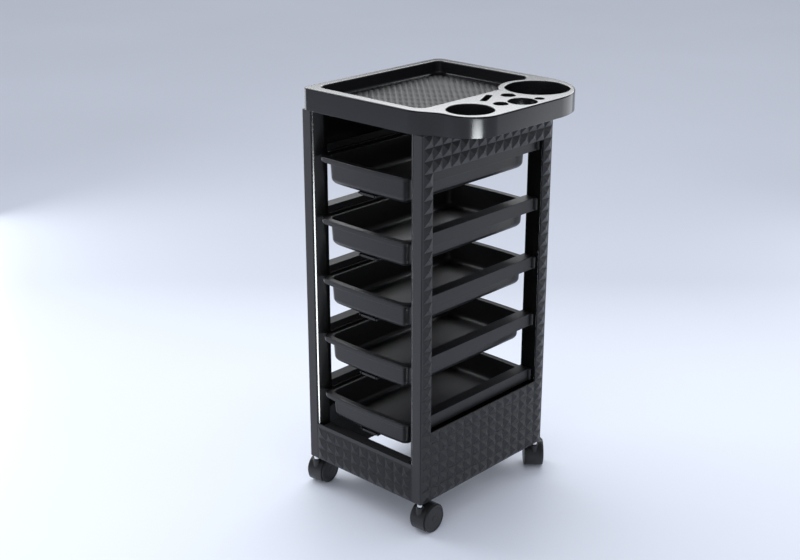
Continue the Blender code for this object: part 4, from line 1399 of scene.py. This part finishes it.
# ---------------------------------------------------------------- casters
@dataclass
class Casters:
    """Four swivel casters, each a stem, a hooded fork, an axle and two wheels."""

    cabinet: Cabinet
    wheel: float = 0.030
    wheel_width: float = 0.0115
    wheel_relief: float = 0.00025
    overall: float = 0.044
    trail: float = 0.0215
    inset: float = 0.010
    stem: float = 0.004
    collar: float = 0.0065
    hood_width: float = 0.036
    hood_thickness: float = 0.0018
    hood_clearance: float = 0.0008
    hood_from: float = radians(-40)
    hood_to: float = radians(170)
    web: float = 0.006
    hub: float = 0.007
    boss: float = 0.0085
    boss_top: float = 0.061
    gap: float = 0.0003
    turns: tuple[tuple[str, float], ...] = (
        ("front_left", 8), ("front_right", 2), ("rear_left", 24), ("rear_right", 43))

    def arc_point(self, radius: float, angle: float) -> Vector:
        """A point (y, z) round the wheel's axis; angle 0 faces the stem, a quarter turn is up."""
        return Vector((self.trail - radius * cos(angle), self.wheel + radius * sin(angle)))

    def hood(self) -> bpy.types.Mesh:
        """The fork between the wheels with its hood over their treads and the stem's boss."""
        steps = 40
        reach = self.wheel + self.hood_clearance + self.hood_thickness
        angles = [self.hood_from + (self.hood_to - self.hood_from) * k / steps
                  for k in range(steps + 1)]
        outer = [self.arc_point(reach, a) for a in angles]
        inner = [self.arc_point(reach - self.hood_thickness, a) for a in reversed(angles)]
        shell, fork = Form(), Form()
        shell.prism(outer + inner, -self.hood_width / 2, self.hood_width / 2, Axis.X)
        middle = [self.arc_point(reach - self.hood_thickness / 2, a) for a in angles[1:-1]]
        foot = [self.arc_point(self.boss, radians(a)) for a in (220, 270, 320)]
        fork.prism(middle + foot, -self.web / 2, self.web / 2, Axis.X)
        hub_half = self.overall / 2 - self.wheel_width - self.gap
        fork.lathe(
            [(self.hub, -hub_half), (self.hub, hub_half)], 32, Axis.X, (self.trail, self.wheel))
        fork.lathe([(self.boss, self.wheel + 0.012), (self.boss, self.boss_top - 0.0012),
                    (self.boss - 0.0012, self.boss_top)], 36)
        return merged("hood", [eased(shell.mesh("shell"), 0.0006), eased(fork.mesh("fork"), 0.0004)])

    def tyre(self, sign: int) -> bpy.types.Mesh:
        """A wheel about its own axis, with its dished outer disc to the side of the sign.

        Args:
            sign: 1 or -1, the way the outer disc faces along x.

        Returns:
            The wheel's mesh.
        """
        radius, width = self.wheel, self.wheel_width - self.wheel_relief
        profile = [
            (0.0028, 0), (radius - 0.0012, 0), *[
                (radius - 0.0012 * (1 - sin(a)), 0.0012 * (1 - cos(a)))
                for a in (pi / 6, pi / 3, pi / 2)],
            (radius, width - 0.0032), *quarter((radius, width - 0.003), (radius - 0.0026, width), 5, False),
            (radius - 0.0042, width), (radius - 0.005, width - 0.0011), (radius - 0.0058, width - 0.0012),
            (radius - 0.0066, width - 0.0004), (0.0085, width - 0.0003), (0.0078, width - 0.0009),
            (0.0072, width - 0.0009), (0.0066, width - 0.0002), (0.003, width - 0.0001)]
        form = Form()
        form.lathe([(r, sign * h) for r, h in profile], 64, Axis.X)
        return eased(form.mesh("tyre"), 0)

    def pin(self) -> bpy.types.Mesh:
        """A plated stem with its collar between the hood's boss and the frame."""
        low, high = self.boss_top + self.gap, self.cabinet.layout.base_z - self.gap
        form = Form()
        form.lathe([
            (self.stem, self.boss_top - 0.013), (self.stem, low), (self.collar - 0.0006, low),
            (self.collar, low + 0.0006), (self.collar, high - 0.0006),
            (self.collar - 0.0006, high), (self.stem, high), (self.stem, high + 0.036)], 36)
        return eased(form.mesh("pin"), 0)

    def build(self, builder: Builder) -> None:
        """Builds the four casters at the corners, each turned its own way.

        Args:
            builder: Places the pieces.
        """
        half, depth = self.cabinet.half, self.cabinet.layout.depth
        for corner, degrees in self.turns:
            end, side = corner.split("_")
            x = (half - self.inset) * (1 if side == "right" else -1)
            y = self.inset if end == "front" else depth - self.inset
            here = Matrix.Translation((x, y, 0))
            swivel = here @ Matrix.Rotation(radians(degrees), 4, "Z")
            base = f"caster_{corner}"
            builder.piece(f"{base}_stem", self.pin(), CABINET_BODY, [CHROME], [f"{base}_stem"], here)
            builder.piece(
                f"{base}_hood", self.hood(), f"swivel_{corner}", [CASTER_HOOD], [f"{base}_hood"],
                swivel)
            for label, sign in (("a", 1), ("b", -1)):
                inner = sign * (self.overall / 2 - self.wheel_width)
                hub = swivel @ Matrix.Translation((inner, self.trail, self.wheel))
                name = f"{base}_wheel_{label}"
                builder.piece(
                    name, self.tyre(sign), f"wheel_{corner}_{label}", [CASTER_TYRE], [name], hub)
            builder.dress(f"{base}_axle", CHROME)


# ---------------------------------------------------------------- studio
@dataclass(frozen=True)
class PanelLight:
    """A soft rectangular light that faces the trolley from one side."""

    name: str
    azimuth: float
    distance: float
    heights: tuple[float, float]
    width: float
    power: float


@dataclass(frozen=True)
class EdgeCard:
    """A glowing sector of the floor, by its azimuths in degrees and how near and far it reaches."""

    name: str
    sector: tuple[float, float]
    reach: tuple[float, float]
    strength: float


PANEL_LIGHTS = (
    PanelLight("window", 223, 1.25, (1.2, 2.45), 3.0, 44.0),
    PanelLight("right_wall", 158, 2.3, (0.05, 0.95), 1.7, 7.0),
    PanelLight("left_wall", 282, 2.3, (0.05, 0.95), 1.7, 11.0),
    PanelLight("left_softbox", 285, 2.6, (1.9, 3.3), 1.8, 40.0),
    PanelLight("front_fill", 20, 3.4, (0.6, 2.6), 3.0, 12.0))
POST_CARD = EdgeCard("post_card", (8, 64), (0.25, 2.25), 66.0)
LOBE_CARD = EdgeCard("lobe_card", (46, 78), (1.4, 3.2), 26.0)


@dataclass
class Studio:
    """A pale floor, soft light and the camera."""

    layout: Layout
    camera_at: Point = (1.78979, -1.79677, 1.47521)
    camera_azimuth: float = radians(43.1309)
    camera_drop: float = radians(20.5587)
    lens: float = 60.448
    floor_shade: tuple[float, float, float, float] = (0.70, 0.73, 0.80, 1.0)
    floor_reach: float = 9.0
    card_height: float = 0.004
    card_bulge: float = 1.1
    light_colour: Point = (0.96, 0.98, 1.0)
    trolley_middle: float = 0.2

    def build(self) -> None:
        """Sets the camera, the floor, the lights and the world."""
        scene = bpy.context.scene
        scene.view_settings.view_transform = "Standard"
        camera = bpy.data.objects.new("camera", bpy.data.cameras.new("camera"))
        scene.collection.objects.link(camera)
        camera.data.lens, camera.data.sensor_width = self.lens, 36.0
        flat = cos(self.camera_drop)
        back = Vector((sin(self.camera_azimuth) * flat, -cos(self.camera_azimuth) * flat,
                       sin(self.camera_drop)))
        camera.rotation_mode = "QUATERNION"
        camera.rotation_quaternion = back.to_track_quat("Z", "Y")
        camera.location = self.layout.shift @ Vector(self.camera_at)
        scene.camera = camera
        self.floor()
        self.lights()
        self.world()

    def floor(self) -> None:
        """A wide pale floor with a soft sheen."""
        form = Form()
        far = self.floor_reach
        form.cap(form.ring([(x, y, 0) for x, y in ((-far, -far), (far, -far), (far, far), (-far, far))]))
        floor = placed("floor", form.mesh("floor"))
        material = bpy.data.materials.new("floor")
        material.use_nodes = True
        shader = material.node_tree.nodes["Principled BSDF"]
        graph = Graph(material.node_tree)
        place = graph.add("ShaderNodeTexCoord").outputs["Object"]
        cloud = graph.noise(place, 0.8, 2.0)
        paler = tuple(min(1.0, c * 1.1) for c in self.floor_shade[:3])
        colour = graph.mix(cloud, self.floor_shade, (*paler, 1.0))
        material.node_tree.links.new(colour, shader.inputs["Base Color"])
        shader.inputs["Roughness"].default_value = 0.34
        shader.inputs["Specular IOR Level"].default_value = 0.3
        floor.data.materials.append(material)

    def glow(self, name: str, corners: Sequence[Point], strength: float) -> bpy.types.Object:
        """A card that only shows in polished surfaces.

        Args:
            name: The card's name.
            corners: Its corners.
            strength: How bright it is.

        Returns:
            The card.
        """
        form = Form()
        form.cap(form.ring(corners))
        card = placed(name, form.mesh(name))
        material = bpy.data.materials.new(name)
        material.use_nodes = True
        shader = material.node_tree.nodes["Principled BSDF"]
        shader.inputs["Base Color"].default_value = (0.0, 0.0, 0.0, 1.0)
        shader.inputs["Emission Color"].default_value = (0.93, 0.98, 1.0, 1.0)
        shader.inputs["Emission Strength"].default_value = strength
        card.data.materials.append(material)
        for ray in ("camera", "diffuse", "shadow", "transmission", "volume_scatter"):
            setattr(card, f"visible_{ray}", False)
        return card

    def lights(self) -> None:
        """A broad window behind the tray, a low wall light to each side, and a soft front fill."""
        for panel in PANEL_LIGHTS:
            turn, (low, high) = radians(panel.azimuth), panel.heights
            lamp = bpy.data.lights.new(panel.name, "AREA")
            lamp.shape, (lamp.size, lamp.size_y) = "RECTANGLE", (panel.width, high - low)
            lamp.energy, lamp.color = panel.power, self.light_colour
            light = bpy.data.objects.new(panel.name, lamp)
            bpy.context.scene.collection.objects.link(light)
            way = Vector((sin(turn), -cos(turn), 0.0))
            middle = self.layout.shift @ Vector((0.0, self.trolley_middle, (low + high) / 2))
            light.location = middle + way * panel.distance
            light.rotation_mode = "QUATERNION"
            light.rotation_quaternion = way.to_track_quat("Z", "Y")
            light.visible_camera = False

    def edge_lights(self, posts: Sequence[bpy.types.Object], tray: bpy.types.Object) -> None:
        """Cards low before the trolley that draw bright edges down the posts and the lobe.

        Args:
            posts: The glossy pieces that the first card shows in.
            tray: The piece that the second card shows in.
        """
        centre = self.layout.shift @ Vector((0.0, 0.0, 0.0))
        for edge, lit in ((POST_CARD, posts), (LOBE_CARD, [tray])):
            (start, stop), (near, far) = edge.sector, edge.reach
            corners = []
            for azimuth, away in (
                    (start, near), (start, far), ((start + stop) / 2, far * self.card_bulge),
                    (stop, far), (stop, near)):
                turn = radians(azimuth)
                corners.append((centre.x + sin(turn) * away, centre.y - cos(turn) * away, self.card_height))
            card = self.glow(edge.name, corners, edge.strength)
            only = bpy.data.collections.new(edge.name)
            for piece in lit:
                only.objects.link(piece)
            card.light_linking.receiver_collection = only

    def world(self) -> None:
        """Pale surroundings that light the trolley only a little, and least from overhead."""
        world = bpy.data.worlds.new("studio")
        bpy.context.scene.world = world
        world.use_nodes = True
        graph = Graph(world.node_tree)
        background = world.node_tree.nodes["Background"]
        way = graph.add("ShaderNodeTexCoord").outputs["Generated"]
        split = graph.add("ShaderNodeSeparateXYZ", {0: way}).outputs
        high = graph.add(
            "ShaderNodeMapRange", {"Value": split[2], "From Min": 0.1, "From Max": 0.6}).outputs[0]
        shown = graph.mix(high, (0.22, 0.23, 0.252, 1.0), (0.14, 0.145, 0.16, 1.0))
        soft = graph.add("ShaderNodeLightPath").outputs["Is Diffuse Ray"]
        lit = graph.mix(soft, shown, (0.80, 0.83, 0.90, 1.0))
        seen = graph.add("ShaderNodeLightPath").outputs["Is Camera Ray"]
        colour = graph.mix(seen, lit, (0.72, 0.76, 0.86, 1.0))
        world.node_tree.links.new(colour, background.inputs["Color"])


def main() -> None:
    """Loads the frame, builds the studio and every sub-assembly, and adds the edge cards; each piece's
    faces are logged.
    """
    logging.basicConfig(level=logging.INFO, format="%(name)s: %(message)s")
    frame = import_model()
    layout = Layout.measured()
    builder = Builder(layout, frame["nodes"])
    cabinet = Cabinet(layout)
    studio = Studio(layout)
    studio.build()
    for assembly in (cabinet, Drawers(cabinet), TopTray(layout), Casters(cabinet)):
        LOG.info("building %s", type(assembly).__name__)
        assembly.build(builder)
    posts = [builder.pieces[f"inner_frame_{side.name.lower()}"] for side in Side]
    studio.edge_lights(posts, builder.pieces["top_tray"])


if __name__ == "__main__":
    main()
